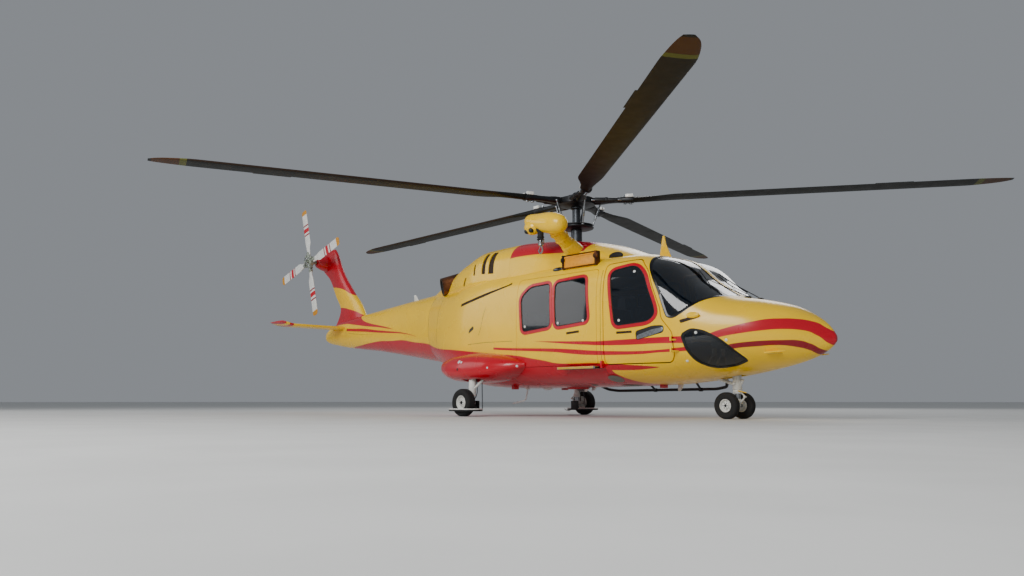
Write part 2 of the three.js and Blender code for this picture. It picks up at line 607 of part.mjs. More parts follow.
// Main gear legs, wheels and snow pads
const AXLE_R = 34;
const MAIN_RIM_R = 118;
const NOSE_RIM_R = 92;
const NOSE_AXLE_R = 28;
const PAD_LOW = 88;
const PAD_THICK = 34;
const WHEEL_SIDES = 20;
const wheelRim = (radius, half, bore) => [
  [bore, -half * 0.8], [radius * 0.45, -half * 0.8], [radius * 0.7, -half * 0.35], [radius, -half],
  [radius, half], [radius * 0.7, half * 0.45], [radius * 0.4, half * 0.8], [bore, half * 0.8],
];
const tyreProfile = (radius, rim, half) => [
  [rim, -half * 0.72], [(rim + radius) / 2, -half], [radius - 18, -half * 0.82], [radius, -half * 0.35],
  [radius, half * 0.35], [radius - 18, half * 0.82], [(rim + radius) / 2, half], [rim, half * 0.72],
];
for (const [sideName, side] of SIDES) {
  const { x, y, tyreR, tyreWidth } = MAIN_GEAR;
  const middle = [x, side * y, tyreR];
  const legY = side * (y - 190);
  const leg = bar([x, legY, 330], [x, legY, 700], 62, 62, 12)
    .add(bar([x, legY, 200], [x, legY, 340], 44, 44, 12))
    .add(bar([x, legY, tyreR], [x, side * (y + 40), tyreR], AXLE_R, AXLE_R, 12))
    .add(bar([x, legY, tyreR - 20], [x, legY, tyreR + 30], 60, 60, 12))
    .add(box(x - 150, x - 40, legY - 22, legY + 22, 350, 390))
    .add(box(x - 150, x - 30, legY - 22, legY + 22, 215, 250))
    .add(bar([x - 140, legY, 232], [x - 140, legY, 372], 16, 16, 8));
  add(`main_leg_${sideName}`, largest(leg.subtract(sponson(side, -SEAT_GAP))), WHITE());
  const rim = wheelRim(MAIN_RIM_R, 62, AXLE_R + 1);
  const tyre = tyreProfile(tyreR, MAIN_RIM_R + SEAT_GAP, tyreWidth / 2);
  add(`main_rim_${sideName}`, turned(rim, middle, [0, side, 0], WHEEL_SIDES), WHITE());
  add(`main_tyre_${sideName}`, turned(tyre, middle, [0, side, 0], WHEEL_SIDES), RUBBER());
  const padOutline = [[x - 350, side * (y - 60)], [x - 210, side * (y - 270)], [x + 210, side * (y - 270)],
    [x + 350, side * (y - 60)], [x + 230, side * (y + 170)], [x - 230, side * (y + 170)]];
  const slot = box(x - 228, x + 228, side * y - 105, side * y + 105, 0, 400);
  const neck = legY - side * (60 + SEAT_GAP);
  const [strapLow, strapHigh] = [neck, neck - side * 26].sort((a, b) => a - b);
  const strap = box(x - 90, x + 90, strapLow, strapHigh, PAD_LOW + 5, 262);
  const board = plate(padOutline, 90, PAD_LOW, PAD_LOW + PAD_THICK).subtract(slot);
  add(`snow_pad_${sideName}`, board.add(strap), BLACK());
}

// Nose gear: upper leg on the airframe, a leg that swivels below it, and twin wheels on one axle
{
  const { x, trail, tyreR, tyreWidth, spread } = NOSE_GEAR;
  const joinZ = 420;
  const axleX = x - trail;
  const brace = bar([x, 0, joinZ + 60], [x - 420, 0, 620], 24, 24, 12);
  const upper = bar([x, 0, joinZ], [x, 0, 640], 68, 68, 14).add(brace);
  add("nose_leg_upper", largest(upper.subtract(hullSeat)), WHITE());
  const lower = bar([x, 0, 230], [x, 0, joinZ - SEAT_GAP], 46, 46, 14)
    .add(bar([x, 0, joinZ - 50], [x, 0, joinZ - SEAT_GAP], 64, 64, 14))
    .add(bar([axleX, -75, tyreR], [axleX, 75, tyreR], 48, 48, 14))
    .add(box(axleX - 20, x + 30, -34, 34, tyreR - 10, 260))
    .add(box(x + 30, x + 120, -20, 20, joinZ - 50, joinZ - 20))
    .add(box(x + 10, x + 120, -20, 20, 235, 262))
    .add(bar([x + 112, 0, 248], [x + 112, 0, joinZ - 30], 14, 14, 10));
  const axleBore = bar([axleX, -200, tyreR], [axleX, 200, tyreR], NOSE_AXLE_R + 1, NOSE_AXLE_R + 1, 12);
  add("nose_leg_swivel", lower.subtract(axleBore), WHITE());
  let rims = bar([axleX, -spread, tyreR], [axleX, spread, tyreR], NOSE_AXLE_R, NOSE_AXLE_R, 12);
  const tyre = tyreProfile(tyreR, NOSE_RIM_R + SEAT_GAP, tyreWidth / 2);
  for (const [sideName, side] of SIDES) {
    const middle = [axleX, side * spread, tyreR];
    rims = rims.add(turned(wheelRim(NOSE_RIM_R, 46, 20), middle, [0, side, 0], WHEEL_SIDES));
    add(`nose_tyre_${sideName}`, turned(tyre, middle, [0, side, 0], WHEEL_SIDES), RUBBER());
  }
  add("nose_wheel_rims", rims, WHITE());
}

// Main rotor: mast, hub and grips as one piece, and five blades
function turnAbout(point, axis, degrees) {
  const angle = THREE.MathUtils.degToRad(degrees);
  const turn = new THREE.Matrix4().makeRotationAxis(new THREE.Vector3(...axis), angle);
  return new THREE.Matrix4().makeTranslation(...point).multiply(turn)
    .multiply(new THREE.Matrix4().makeTranslation(...point.map((v) => -v)));
}
const MAST_FOOT = GEARBOX_TOP + SEAT_GAP;
const HUB_R = 330;
const HUB_PROFILE = [
  [0, MAST_FOOT], [MAST_R, MAST_FOOT], [MAST_R, 3210], [290, 3220], [300, 3290], [MAST_R, 3360],
  [MAST_R, HUB_Z - 120], [HUB_R, HUB_Z - 60], [HUB_R, HUB_Z + 50], [170, HUB_Z + 120], [0, HUB_Z + 120],
];
let hub = turned(HUB_PROFILE, [0, 0, 0], [0, 0, 1], 20);
const grip = [[250, 70, 60], [420, 85, 62], [GRIP_REACH, 90, 58]].map(([r, w, h]) =>
  sectionRing([r, HUB_Z - h, HUB_Z, HUB_Z + h, w, 3, 3], 12, 0, 0));
const gripGeometry = ringGeometry(grip);
const bladeGeometry = ringGeometry(MAIN_BLADE.map(([reach, chord, thick, sweep]) =>
  wingRing((u, half) => [reach, chord * (0.3 - u) - sweep, HUB_Z + half * thick])));
const pitchLink = bar([270, 60, 3255], [420, 75, HUB_Z], 20, 20, 6);
// The damper beside each grip, from the hub's rim to the grip's outer end
const damper = bar([280, -150, HUB_Z - 10], [800, -70, HUB_Z - 10], 46, 34, 8);
for (let i = 0; i < BLADE_COUNT; i++) {
  const azimuth = BLADE_FIRST_AZIMUTH + (360 / BLADE_COUNT) * i;
  const turn = turnAbout([0, 0, 0], [0, 0, 1], azimuth);
  for (const solid of [solidOf(gripGeometry), pitchLink, damper]) {
    hub = hub.add(solidOf(geometryOf(solid), turn));
  }
  add(`main_blade_${i + 1}`, solidOf(bladeGeometry, turn), BLACK());
}
add("main_rotor_hub", hub, STEEL());

// Tail rotor: hub and four blades as one piece, turning about an axis across the machine
const shaftStart = -330 - SEAT_GAP;
const onTailAxis = (y) => [TAIL_HUB.x, y, TAIL_HUB.z];
const tailShaft = bar(onTailAxis(shaftStart), onTailAxis(TAIL_HUB.y - 60), 55, 45, 20);
let tailRotor = tailShaft.add(bar(onTailAxis(TAIL_HUB.y + 50), onTailAxis(TAIL_HUB.y - 50), 130, 130, 24));
const tailBlade = ringGeometry(TAIL_BLADE.map(([reach, chord, thick, sweep]) => wingRing((u, half) => [
  TAIL_HUB.x + reach, TAIL_HUB.y + half * thick, TAIL_HUB.z + chord * (0.3 - u) - sweep,
])));
for (let i = 0; i < TAIL_BLADE_COUNT; i++) {
  const angle = TAIL_FIRST_ANGLE + (360 / TAIL_BLADE_COUNT) * i;
  const turn = turnAbout(onTailAxis(TAIL_HUB.y), [0, -1, 0], angle);
  tailRotor = tailRotor.add(solidOf(tailBlade, turn));
}
add("tail_rotor", tailRotor, WHITE());

// Rescue hoist over the right door: bracket, pod, cable and hook
const HOIST_PROFILE = [
  [0, -430], [80, -415], [140, -340], [170, -200], [165, -50],
  [140, 120], [125, 260], [105, 370], [55, 430], [0, 440],
];
const HOOK_PROFILE = [[0, -60], [35, -55], [48, 0], [30, 60], [0, 62]];
const rope = (drop) => [HOIST.x - 80, HOIST.y - 30, HOIST.z - drop];
let hoist = turned(HOIST_PROFILE, [HOIST.x, HOIST.y, HOIST.z], [-0.98, 0, 0.199], 14);
hoist = hoist.add(bar([HOIST.x + 40, -600, 2600], [HOIST.x + 40, HOIST.y + 80, HOIST.z - 40], 120, 105, 12))
  .add(bar(rope(280), rope(80), 60, 75, 12))
  .add(bar(rope(460), rope(260), 22, 22, 8))
  .add(turned(HOOK_PROFILE, rope(480), [0, 0, 1], 10));
add("rescue_hoist", largest(hoist.subtract(fairingSeat).subtract(hullSeat)), YELLOW());

// Boarding step of bent tube on the left, and a flat step board on the right
const RAIL = [
  [-360, 880, 560], [-290, 1130, 465], [-120, 1205, 440],
  [2020, 1105, 450], [2270, 1010, 480], [2390, 830, 620],
];
const RAIL_STRUTS = [[740, 1165], [1700, 1120]];
let step = tube(RAIL, 26, 22);
for (const [x, y] of RAIL_STRUTS) step = step.add(bar([x + 100, 850, 580], [x, y, 445], 22, 22, 10));
add("step_rail_left", largest(step.subtract(hullSeat)), BLACK());
add("step_board_right", largest(box(700, 1480, -1235, -900, 735, 772).subtract(hullSeat)), BLACK());

// Wire cutter blade on the cockpit roof
const WIRE_CUTTER = [[2080, 2350], [1720, 2400], [1830, 2830], [1880, 2830]];
const wireCutter = sidePrism(WIRE_CUTTER, 1, -12, 12, 1);
add("wire_cutter", largest(wireCutter.subtract(hullSeat).subtract(fairingSeat)), YELLOW());

export default helicopter;
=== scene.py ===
# Medium twin-engined rescue helicopter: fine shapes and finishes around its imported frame.
# Sizes are millimetres from the rotor mast's foot on the ground, +X forward, +Y left, +Z up.
# The frame itself is in metres and has its origin MAST_X aft of the mast.

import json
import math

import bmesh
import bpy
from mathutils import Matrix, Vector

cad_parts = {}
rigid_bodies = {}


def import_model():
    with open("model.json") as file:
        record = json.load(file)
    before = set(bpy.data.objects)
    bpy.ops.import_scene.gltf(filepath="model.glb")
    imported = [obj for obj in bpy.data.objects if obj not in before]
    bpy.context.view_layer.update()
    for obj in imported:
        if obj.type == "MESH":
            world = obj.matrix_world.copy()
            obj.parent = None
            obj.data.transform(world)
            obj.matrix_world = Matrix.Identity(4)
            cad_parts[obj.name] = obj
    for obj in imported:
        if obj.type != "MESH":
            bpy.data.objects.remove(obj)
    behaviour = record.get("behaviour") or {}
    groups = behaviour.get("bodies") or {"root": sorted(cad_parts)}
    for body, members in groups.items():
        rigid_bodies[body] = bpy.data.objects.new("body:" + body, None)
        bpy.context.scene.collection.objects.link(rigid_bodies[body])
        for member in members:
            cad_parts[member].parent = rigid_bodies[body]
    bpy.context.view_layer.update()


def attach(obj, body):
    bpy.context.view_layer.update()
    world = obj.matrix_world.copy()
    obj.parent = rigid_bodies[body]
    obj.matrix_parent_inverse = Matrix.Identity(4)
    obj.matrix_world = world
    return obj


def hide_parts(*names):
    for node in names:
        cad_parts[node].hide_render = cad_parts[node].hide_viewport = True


bl_info = {
    "name": "Rescue helicopter",
    "version": (1, 0, 0),
    "blender": (4, 5, 0),
    "location": "View3D > Sidebar > Helicopter",
    "description": "Builds the skin, glass, rotors, gear and cabin of a rescue helicopter",
    "category": "Object",
}

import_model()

MM = 0.001
MAST_X = 1900
WALL = 40
DOOR_GAP = 14
SIDES = (("left", 1), ("right", -1))

# Sections: x, lowest z, z of the greatest width, highest z, half width,
# and the powers that square off the lower and upper corners.
HULL = [
    (-3400, 1000, 1700, 2420, 620, 2.6, 2.4),
    (-2500, 690, 1500, 2450, 930, 2.9, 3.0),
    (-1700, 510, 1300, 2490, 1095, 3.2, 4.0),
    (-1000, 480, 1250, 2500, 1130, 3.4, 4.8),
    (1000, 490, 1210, 2500, 1130, 3.4, 4.8),
    (1900, 510, 1220, 2480, 1115, 3.3, 4.6),
    (2400, 540, 1235, 2360, 1070, 3.0, 4.0),
    (2900, 580, 1225, 1975, 970, 2.6, 3.2),
    (3300, 630, 1215, 1740, 840, 2.3, 2.8),
    (3700, 690, 1200, 1650, 670, 2.1, 2.6),
    (4050, 760, 1170, 1550, 465, 2.0, 2.4),
    (4350, 850, 1130, 1395, 250, 2.0, 2.2),
    (4540, 950, 1090, 1240, 95, 2.0, 2.0),
    (4620, 1030, 1075, 1120, 25, 2.0, 2.0),
]
BOOM = [
    (-8200, 1690, 1790, 1890, 40, 2, 2),
    (-8050, 1630, 1800, 1960, 90, 2, 2),
    (-7700, 1565, 1820, 2060, 155, 2.1, 2.1),
    (-7200, 1490, 1830, 2130, 225, 2.2, 2.2),
    (-5800, 1340, 1800, 2250, 330, 2.3, 2.3),
    (-4500, 1160, 1750, 2350, 450, 2.4, 2.4),
    (-3400, 1000, 1700, 2420, 620, 2.6, 2.4),
]
COWL = [
    (-4000, 2100, 2220, 2350, 150, 2, 2),
    (-3700, 2100, 2250, 2420, 280, 2, 2.2),
    (-3300, 2050, 2300, 2530, 440, 2, 2.3),
    (-2900, 2000, 2340, 2660, 610, 2, 2.4),
    (-2500, 2000, 2360, 2755, 750, 2, 2.5),
    (-2100, 2000, 2370, 2880, 870, 2, 2.7),
    (-1500, 2000, 2370, 3000, 950, 2, 3.3),
    (-700, 2000, 2360, 3010, 950, 2, 3.4),
    (-200, 2000, 2360, 2985, 930, 2, 3.2),
    (400, 2050, 2360, 2920, 870, 2, 2.8),
    (1000, 2100, 2350, 2790, 760, 2, 2.4),
    (1500, 2150, 2340, 2600, 600, 2, 2.3),
    (1900, 2200, 2330, 2430, 380, 2, 2),
]
COWL_SPLIT = -700
SPONSON = [
    (-2350, 880, 920, 960, 60, 2, 2),
    (-2150, 690, 830, 1000, 260, 2.2, 2.2),
    (-1700, 590, 790, 1060, 440, 2.6, 2.4),
    (-1200, 570, 780, 1080, 500, 2.8, 2.4),
    (-800, 590, 790, 1050, 470, 2.6, 2.4),
    (-400, 680, 820, 980, 330, 2.2, 2.2),
    (-150, 800, 850, 900, 120, 2, 2),
]
SPONSON_Y = 1000

# Outlines seen from the side, as x and z, and the radii of their corners
COCKPIT_DOOR = [
    (1560, 800), (2640, 800), (2720, 900), (2720, 1200), (2550, 1420),
    (2540, 1560), (2310, 2120), (2120, 2330), (1560, 2300),
]
COCKPIT_WINDOW = [
    (1760, 1345), (2350, 1380), (2475, 1480), (2440, 1640), (2255, 2100), (2080, 2250), (1655, 2190),
]
CABIN_DOOR = [(-330, 800), (1420, 800), (1420, 2250), (-330, 2250)]
CABIN_WINDOWS = {
    "aft": [(-190, 1370), (455, 1425), (420, 2130), (-40, 2110), (-235, 1950)],
    "fore": [(560, 1410), (1250, 1460), (1180, 2155), (530, 2125)],
}
WINDSCREEN = [
    (2640, 1420), (2740, 1400), (2870, 1470), (3110, 1650), (3370, 1760),
    (3500, 2600), (2130, 2600), (2290, 2200), (2500, 1810), (2610, 1490),
]
WINDSCREEN_POST = 35
CHIN_WINDOW = [
    (2840, 1180), (2990, 1260), (3170, 1220), (3370, 1100), (3510, 950), (3620, 800),
    (3430, 735), (3230, 705), (3100, 710), (2970, 790), (2890, 960),
]
CHIN_POST = 260
DOOR_RADIUS = 60
COCKPIT_WINDOW_RADIUS = 110
WINDOW_RADIUS = 90
CHIN_RADIUS = 60
CABIN_DOOR_RADIUS = 80
# Louvred slots in the engine cowling
LOUVRES = [
    [(-1430, 2490), (-1330, 2480), (-1330, 2860), (-1430, 2860)],
    [(-1250, 2475), (-1110, 2465), (-1110, 2860), (-1250, 2860)],
    [(-1660, 2490), (-1610, 2485), (-1610, 2690), (-1660, 2690)],
    [(-2010, 2330), (-1960, 2330), (-1890, 2480), (-1940, 2480)],
]
LOUVRE_DEPTH = 16
# How far from the centre plane the side cuts start and end
NEAR = 400
FAR = 1400

# Fin sections: z, leading edge x, trailing edge x, thickness
FIN = [
    (1850, -6350, -7950, 190),
    (2400, -6680, -7620, 180),
    (2750, -7040, -7850, 165),
    (3170, -7440, -8130, 150),
    (3450, -7640, -8480, 140),
    (3750, -7800, -8700, 125),
    (3900, -7930, -8760, 90),
]


# Points and sections

def at(x, y, z):
    """A place in millimetres from the mast, as the frame's metres."""
    return Vector(((x + MAST_X) * MM, y * MM, z * MM))


def row_at(table, x):
    """A row of a section table at any x, by a smooth curve that never overshoots a column."""
    last = len(table) - 1
    i = 0
    while i < last - 1 and x > table[i + 1][0]:
        i += 1

    def rise(k, c):
        return (table[k + 1][c] - table[k][c]) / (table[k + 1][0] - table[k][0])

    def slope(k, c):
        if k == 0 or k == last:
            return rise(min(k, last - 1), c)
        before, after = rise(k - 1, c), rise(k, c)
        return 0 if before * after <= 0 else 2 * before * after / (before + after)

    width = table[i + 1][0] - table[i][0]
    t = (x - table[i][0]) / width
    row = [x]
    for c in range(1, len(table[i])):
        row.append(
            table[i][c] * (1 + 2 * t) * (1 - t) ** 2
            + slope(i, c) * width * t * (1 - t) ** 2
            + table[i + 1][c] * t * t * (3 - 2 * t)
            + slope(i + 1, c) * width * t * t * (t - 1)
        )
    return row


def ring_at(table, x, around, inset=0, middle=0):
    """One ring of a section: two half superellipses that share their greatest width."""
    x, low, wide, high, half, low_power, high_power = row_at(table, x)
    ring = []
    for j in range(around):
        angle = 2 * math.pi * j / around
        down, out = math.cos(angle), math.sin(angle)
        power = low_power if down > 0 else high_power
        far = (abs(down) ** power + abs(out) ** power) ** (1 / power)
        reach = wide - low - inset if down > 0 else high - wide - inset
        ring.append(at(x, middle + (half - inset) * out / far, wide - reach * down / far))
    return ring


def places(table, step, start=None, end=None):
    """Places along a table, about a step apart, that include its rows' ends."""
    start = table[0][0] if start is None else start
    end = table[-1][0] if end is None else end
    count = max(1, round((end - start) / step))
    return [start + (end - start) * i / count for i in range(count + 1)]


def onto(table, x, y, z, lift=0, middle=0):
    """The point of a lofted skin outside or inside a point, and the skin's outward normal there."""
    def far(px, py, pz):
        row = row_at(table, px)
        reach = row[2] - row[1] if pz < row[2] else row[3] - row[2]
        power = row[5] if pz < row[2] else row[6]
        return (abs((py - middle) / row[4]) ** power + abs((pz - row[2]) / reach) ** power) ** (1 / power)

    row = row_at(table, x)
    scale = 1 / max(far(x, y, z), 1e-6)
    px, py, pz = x, middle + (y - middle) * scale, row[2] + (z - row[2]) * scale
    step = 0.5
    normal = Vector((
        far(px + step, py, pz) - far(px - step, py, pz),
        far(px, py + step, pz) - far(px, py - step, pz),
        far(px, py, pz + step) - far(px, py, pz - step),
    )).normalized()
    return Vector((px, py, pz)) + normal * lift, normal


def beside(table, x, z, side):
    """The point of a skin at a side view's x and z, as x, y and z."""
    row = row_at(table, x)
    reach = row[2] - row[1] if z < row[2] else row[3] - row[2]
    power = row[5] if z < row[2] else row[6]
    part = 1 - min(1, abs((z - row[2]) / reach)) ** power
    return Vector((x, side * row[4] * part ** (1 / power), z))


def grown(points, distance):
    """An outline grown by a distance, edge by edge."""
    middle = [sum(p[k] for p in points) / len(points) for k in (0, 1)]
    lines = []
    for i, (ax, az) in enumerate(points):
        bx, bz = points[(i + 1) % len(points)]
        length = math.hypot(bx - ax, bz - az)
        nx, nz = (bz - az) / length, -(bx - ax) / length
        offset = nx * ax + nz * az
        if nx * middle[0] + nz * middle[1] > offset:
            nx, nz, offset = -nx, -nz, -offset
        lines.append((nx, nz, offset + distance))
    result = []
    for i in range(len(points)):
        mx, mz, c = lines[i - 1]
        nx, nz, d = lines[i]
        cross = mx * nz - mz * nx
        result.append(((c * nz - d * mz) / cross, (mx * d - nx * c) / cross))
    return result


def rounded(points, radius, steps=8):
    """A closed outline whose corners are rounded by quadratic curves."""
    outline = []
    for i, here in enumerate(points):
        here = Vector(here)
        before = Vector(points[i - 1]) - here
        after = Vector(points[(i + 1) % len(points)]) - here
        start = here + before.normalized() * min(radius, before.length * 0.45)
        end = here + after.normalized() * min(radius, after.length * 0.45)
        for k in range(steps + 1):
            t = k / steps
            outline.append(start * (1 - t) ** 2 + here * 2 * t * (1 - t) + end * t * t)
    return outline


# Making and shaping objects

def fresh():
    """Leaves nothing selected and Blender in object mode."""
    if bpy.context.object and bpy.context.object.mode != "OBJECT":
        bpy.ops.object.mode_set(mode="OBJECT")
    bpy.ops.object.select_all(action="DESELECT")


def pick(*objects):
    """Selects just these objects, the last one active."""
    fresh()
    for obj in objects:
        obj.select_set(True)
        bpy.context.view_layer.objects.active = obj


def named(obj, name):
    """Names an object and its mesh."""
    obj.name = name
    obj.data.name = name
    return obj


def mesh_piece(name, points, faces):
    """An object of points in the frame's metres and their faces."""
    mesh = bpy.data.meshes.new(name)
    mesh.from_pydata(points, [], faces)
    mesh.validate()
    obj = bpy.data.objects.new(name, mesh)
    bpy.context.scene.collection.objects.link(obj)
    return obj


def outward(obj):
    """Merges doubled points and turns every face outwards."""
    edit_all(obj)
    bpy.ops.mesh.remove_doubles(threshold=1e-6)
    bpy.ops.mesh.normals_make_consistent(inside=False)
    bpy.ops.object.mode_set(mode="OBJECT")
    return obj


def edit_all(obj):
    """Goes into edit mode on an object, with all of it selected."""
    pick(obj)
    bpy.ops.object.mode_set(mode="EDIT")
    bpy.ops.mesh.select_all(action="SELECT")


def settled(obj):
    """Moves an object's place into its mesh."""
    pick(obj)
    bpy.ops.object.transform_apply(location=True, rotation=True, scale=True)
    return obj


def smooth(obj, degrees=35):
    """Shades faces smooth where they meet at less than an angle."""
    pick(obj)
    bpy.ops.object.shade_smooth_by_angle(angle=math.radians(degrees))
    return obj


def modified(obj, kind, **settings):
    """Adds a modifier with its settings and applies it."""
    pick(obj)
    modifier = obj.modifiers.new(kind.title(), kind)
    for key, value in settings.items():
        setattr(modifier, key, value)
    bpy.ops.object.modifier_apply(modifier=modifier.name)
    return obj


def cut(obj, tool, operation="DIFFERENCE"):
    """Cuts an object with a tool, or joins or crops it, and takes the tool away."""
    modified(obj, "BOOLEAN", operation=operation, object=tool, solver="MANIFOLD")
    if not obj.data.polygons:
        raise RuntimeError(f"nothing is left of {obj.name} after a cut")
    bpy.data.objects.remove(tool)
    return obj


def copied(obj, name):
    """A twin of an object with its own mesh."""
    twin = obj.copy()
    twin.data = obj.data.copy()
    bpy.context.scene.collection.objects.link(twin)
    return named(twin, name)


def joined(name, objects):
    """Several objects as one."""
    if len(objects) > 1:
        pick(*objects)
        bpy.ops.object.join()
    return named(objects[-1], name)


def skin(name, rings):
    """Rings of equally many points, joined into one surface, with its ends closed by a fan."""
    around = len(rings[0])
    points = [p for ring in rings for p in ring]
    faces = []
    for i in range(len(rings) - 1):
        for j in range(around):
            a = i * around + j
            b = i * around + (j + 1) % around
            faces.append((a, b, b + around, a + around))
    for first in (0, (len(rings) - 1) * around):
        points.append(sum((points[first + j] for j in range(around)), Vector()) / around)
        middle = len(points) - 1
        for j in range(around):
            faces.append((middle, first + (j + 1) % around, first + j))
    return outward(mesh_piece(name, points, faces))


def loft(name, table, step=60, around=128, inset=0, middle=0, start=None, end=None):
    """A closed body lofted through a section table, inset all round."""
    return skin(name, [ring_at(table, x, around, inset, middle) for x in places(table, step, start, end)])


def prism(name, points, radius, near, far, side, grow=0):
    """A side view outline carried across the machine on one side, as a cutting tool."""
    outline = rounded(grown(points, grow), radius)
    count = len(outline)
    corners = [at(p.x, side * y, p.y) for y in (near, far) for p in outline]
    faces = [tuple(range(count)), tuple(range(count, 2 * count))]
    faces += [(j, (j + 1) % count, (j + 1) % count + count, j + count) for j in range(count)]
    return outward(mesh_piece(name, corners, faces))


def box(name, x0, x1, y0, y1, z0, z1, bevel=0):
    """A block between two corners, its edges bevelled in edit mode."""
    fresh()
    low, high = at(x0, y0, z0), at(x1, y1, z1)
    bpy.ops.mesh.primitive_cube_add(size=1, location=(low + high) / 2)
    obj = named(bpy.context.object, name)
    obj.scale = [abs(v) for v in high - low]
    settled(obj)
    if bevel:
        edit_all(obj)
        bpy.ops.mesh.bevel(offset=bevel * MM, segments=2, profile=0.5)
        bpy.ops.object.mode_set(mode="OBJECT")
    return obj


def rod(name, start, end, radius, end_radius=None, sides=24, bevel=0):
    """A round bar between two points, which may taper, with its rims bevelled in edit mode."""
    fresh()
    start, end = at(*start), at(*end)
    along = end - start
    end_radius = radius if end_radius is None else end_radius
    bpy.ops.mesh.primitive_cone_add(
        vertices=sides, radius1=radius * MM, radius2=end_radius * MM, depth=along.length,
        location=(start + end) / 2, rotation=along.to_track_quat("Z", "Y").to_euler(),
    )
    obj = named(bpy.context.object, name)
    if bevel:
        bpy.ops.object.mode_set(mode="EDIT")
        bpy.ops.mesh.select_all(action="DESELECT")
        bpy.ops.object.mode_set(mode="OBJECT")
        for edge in obj.data.edges:
            heights = [obj.data.vertices[v].co.z for v in edge.vertices]
            edge.select = abs(heights[0] - heights[1]) < along.length * 0.5
        bpy.ops.object.mode_set(mode="EDIT")
        bpy.ops.mesh.bevel(offset=bevel * MM, segments=2, profile=0.5)
        bpy.ops.object.mode_set(mode="OBJECT")
    return settled(obj)


def ball(name, centre, radii, segments=24):
    """A sphere squeezed to three radii."""
    fresh()
    bpy.ops.mesh.primitive_uv_sphere_add(
        segments=segments, ring_count=segments // 2, radius=1, location=at(*centre),
    )
    obj = named(bpy.context.object, name)
    obj.scale = [r * MM for r in radii]
    return settled(obj)


def turned(name, profile, centre, axis, sides=48):
    """A profile of radius and height spun about an axis through a point."""
    mesh = bpy.data.meshes.new(name)
    corners = [(r * MM, 0, h * MM) for r, h in profile]
    closed = profile[0][0] > 0 or profile[-1][0] > 0
    edges = [(i, i + 1) for i in range(len(corners) - 1)]
    if closed:
        edges.append((len(corners) - 1, 0))
    mesh.from_pydata(corners, edges, [])
    obj = bpy.data.objects.new(name, mesh)
    bpy.context.scene.collection.objects.link(obj)
    edit_all(obj)
    bpy.ops.mesh.spin(steps=sides, angle=2 * math.pi, center=(0, 0, 0), axis=(0, 0, 1))
    bpy.ops.object.mode_set(mode="OBJECT")
    outward(obj)
    turn = Vector(axis).to_track_quat("Z", "Y").to_matrix().to_4x4()
    obj.data.transform(Matrix.Translation(at(*centre)) @ turn)
    return obj


def tube(name, points, radius, sides=16, smoothness=12):
    """A round tube along a smooth curve through points."""
    curve = bpy.data.curves.new(name, "CURVE")
    curve.dimensions = "3D"
    curve.bevel_depth = radius * MM
    curve.bevel_resolution = max(0, sides // 4 - 1)
    curve.use_fill_caps = True
    spline = curve.splines.new("BEZIER")
    spline.bezier_points.add(len(points) - 1)
    spline.resolution_u = smoothness
    for knot, point in zip(spline.bezier_points, points):
        knot.co = at(*point)
        knot.handle_left_type = "AUTO"
        knot.handle_right_type = "AUTO"
    obj = bpy.data.objects.new(name, curve)
    bpy.context.scene.collection.objects.link(obj)
    pick(obj)
    bpy.ops.object.convert(target="MESH")
    return outward(named(bpy.context.object, name))


def stood(obj, place, direction, axis="Z", up="Y"):
    """Turns a piece made about the mast's foot to point a way, and moves it to its place."""
    turn = direction.to_track_quat(axis, up).to_matrix().to_4x4()
    obj.data.transform(Matrix.Translation(at(*place)) @ turn @ Matrix.Translation(-at(0, 0, 0)))
    return obj


def plate(name, outline, thickness, bevel=0):
    """A flat outline of points in the frame's metres, extruded along its normal and bevelled."""
    obj = mesh_piece(name, outline, [tuple(range(len(outline)))])
    normal = obj.data.polygons[0].normal.copy()
    edit_all(obj)
    bpy.ops.mesh.extrude_region_move(TRANSFORM_OT_translate={"value": normal * thickness * MM})
    bpy.ops.mesh.select_all(action="SELECT")
    bpy.ops.mesh.normals_make_consistent(inside=False)
    if bevel:
        bpy.ops.mesh.bevel(offset=bevel * MM, segments=2, profile=0.5)
    bpy.ops.object.mode_set(mode="OBJECT")
    return obj


def trim(name, table, path, section, closed=True, middle=0):
    """A strip that lies on a lofted skin along a path of x, y and z.

    section lists the strip's corners, as the distance outwards from the path's middle, or to the left
    of an open path, and the height above the skin.
    """
    count = len(path)
    frames = []
    for i, here in enumerate(path):
        ahead = path[(i + 1) % count] if closed or i + 1 < count else here
        back = path[i - 1] if closed or i > 0 else here
        base, normal = onto(table, *here, middle=middle)
        frames.append((base, normal.cross(ahead - back).normalized()))
    centre = sum((base for base, _ in frames), Vector()) / count
    outwards = sum((base - centre).dot(left) for base, left in frames)
    turn = -1 if closed and outwards < 0 else 1
    corners = []
    for base, left in frames:
        for aside, height in section:
            point, lift = onto(table, *(base + left * aside * turn), middle=middle)
            corners.append(at(*(point + lift * height)))
    around = len(section)
    faces = []
    for i in range(count if closed else count - 1):
        for j in range(around):
            a, b = i * around + j, i * around + (j + 1) % around
            c, d = (b + around) % (count * around), (a + around) % (count * around)
            faces.append((a, b, c, d))
    if not closed:
        faces.append(tuple(range(around)))
        faces.append(tuple(range((count - 1) * around, count * around)))
    return outward(mesh_piece(name, corners, faces))


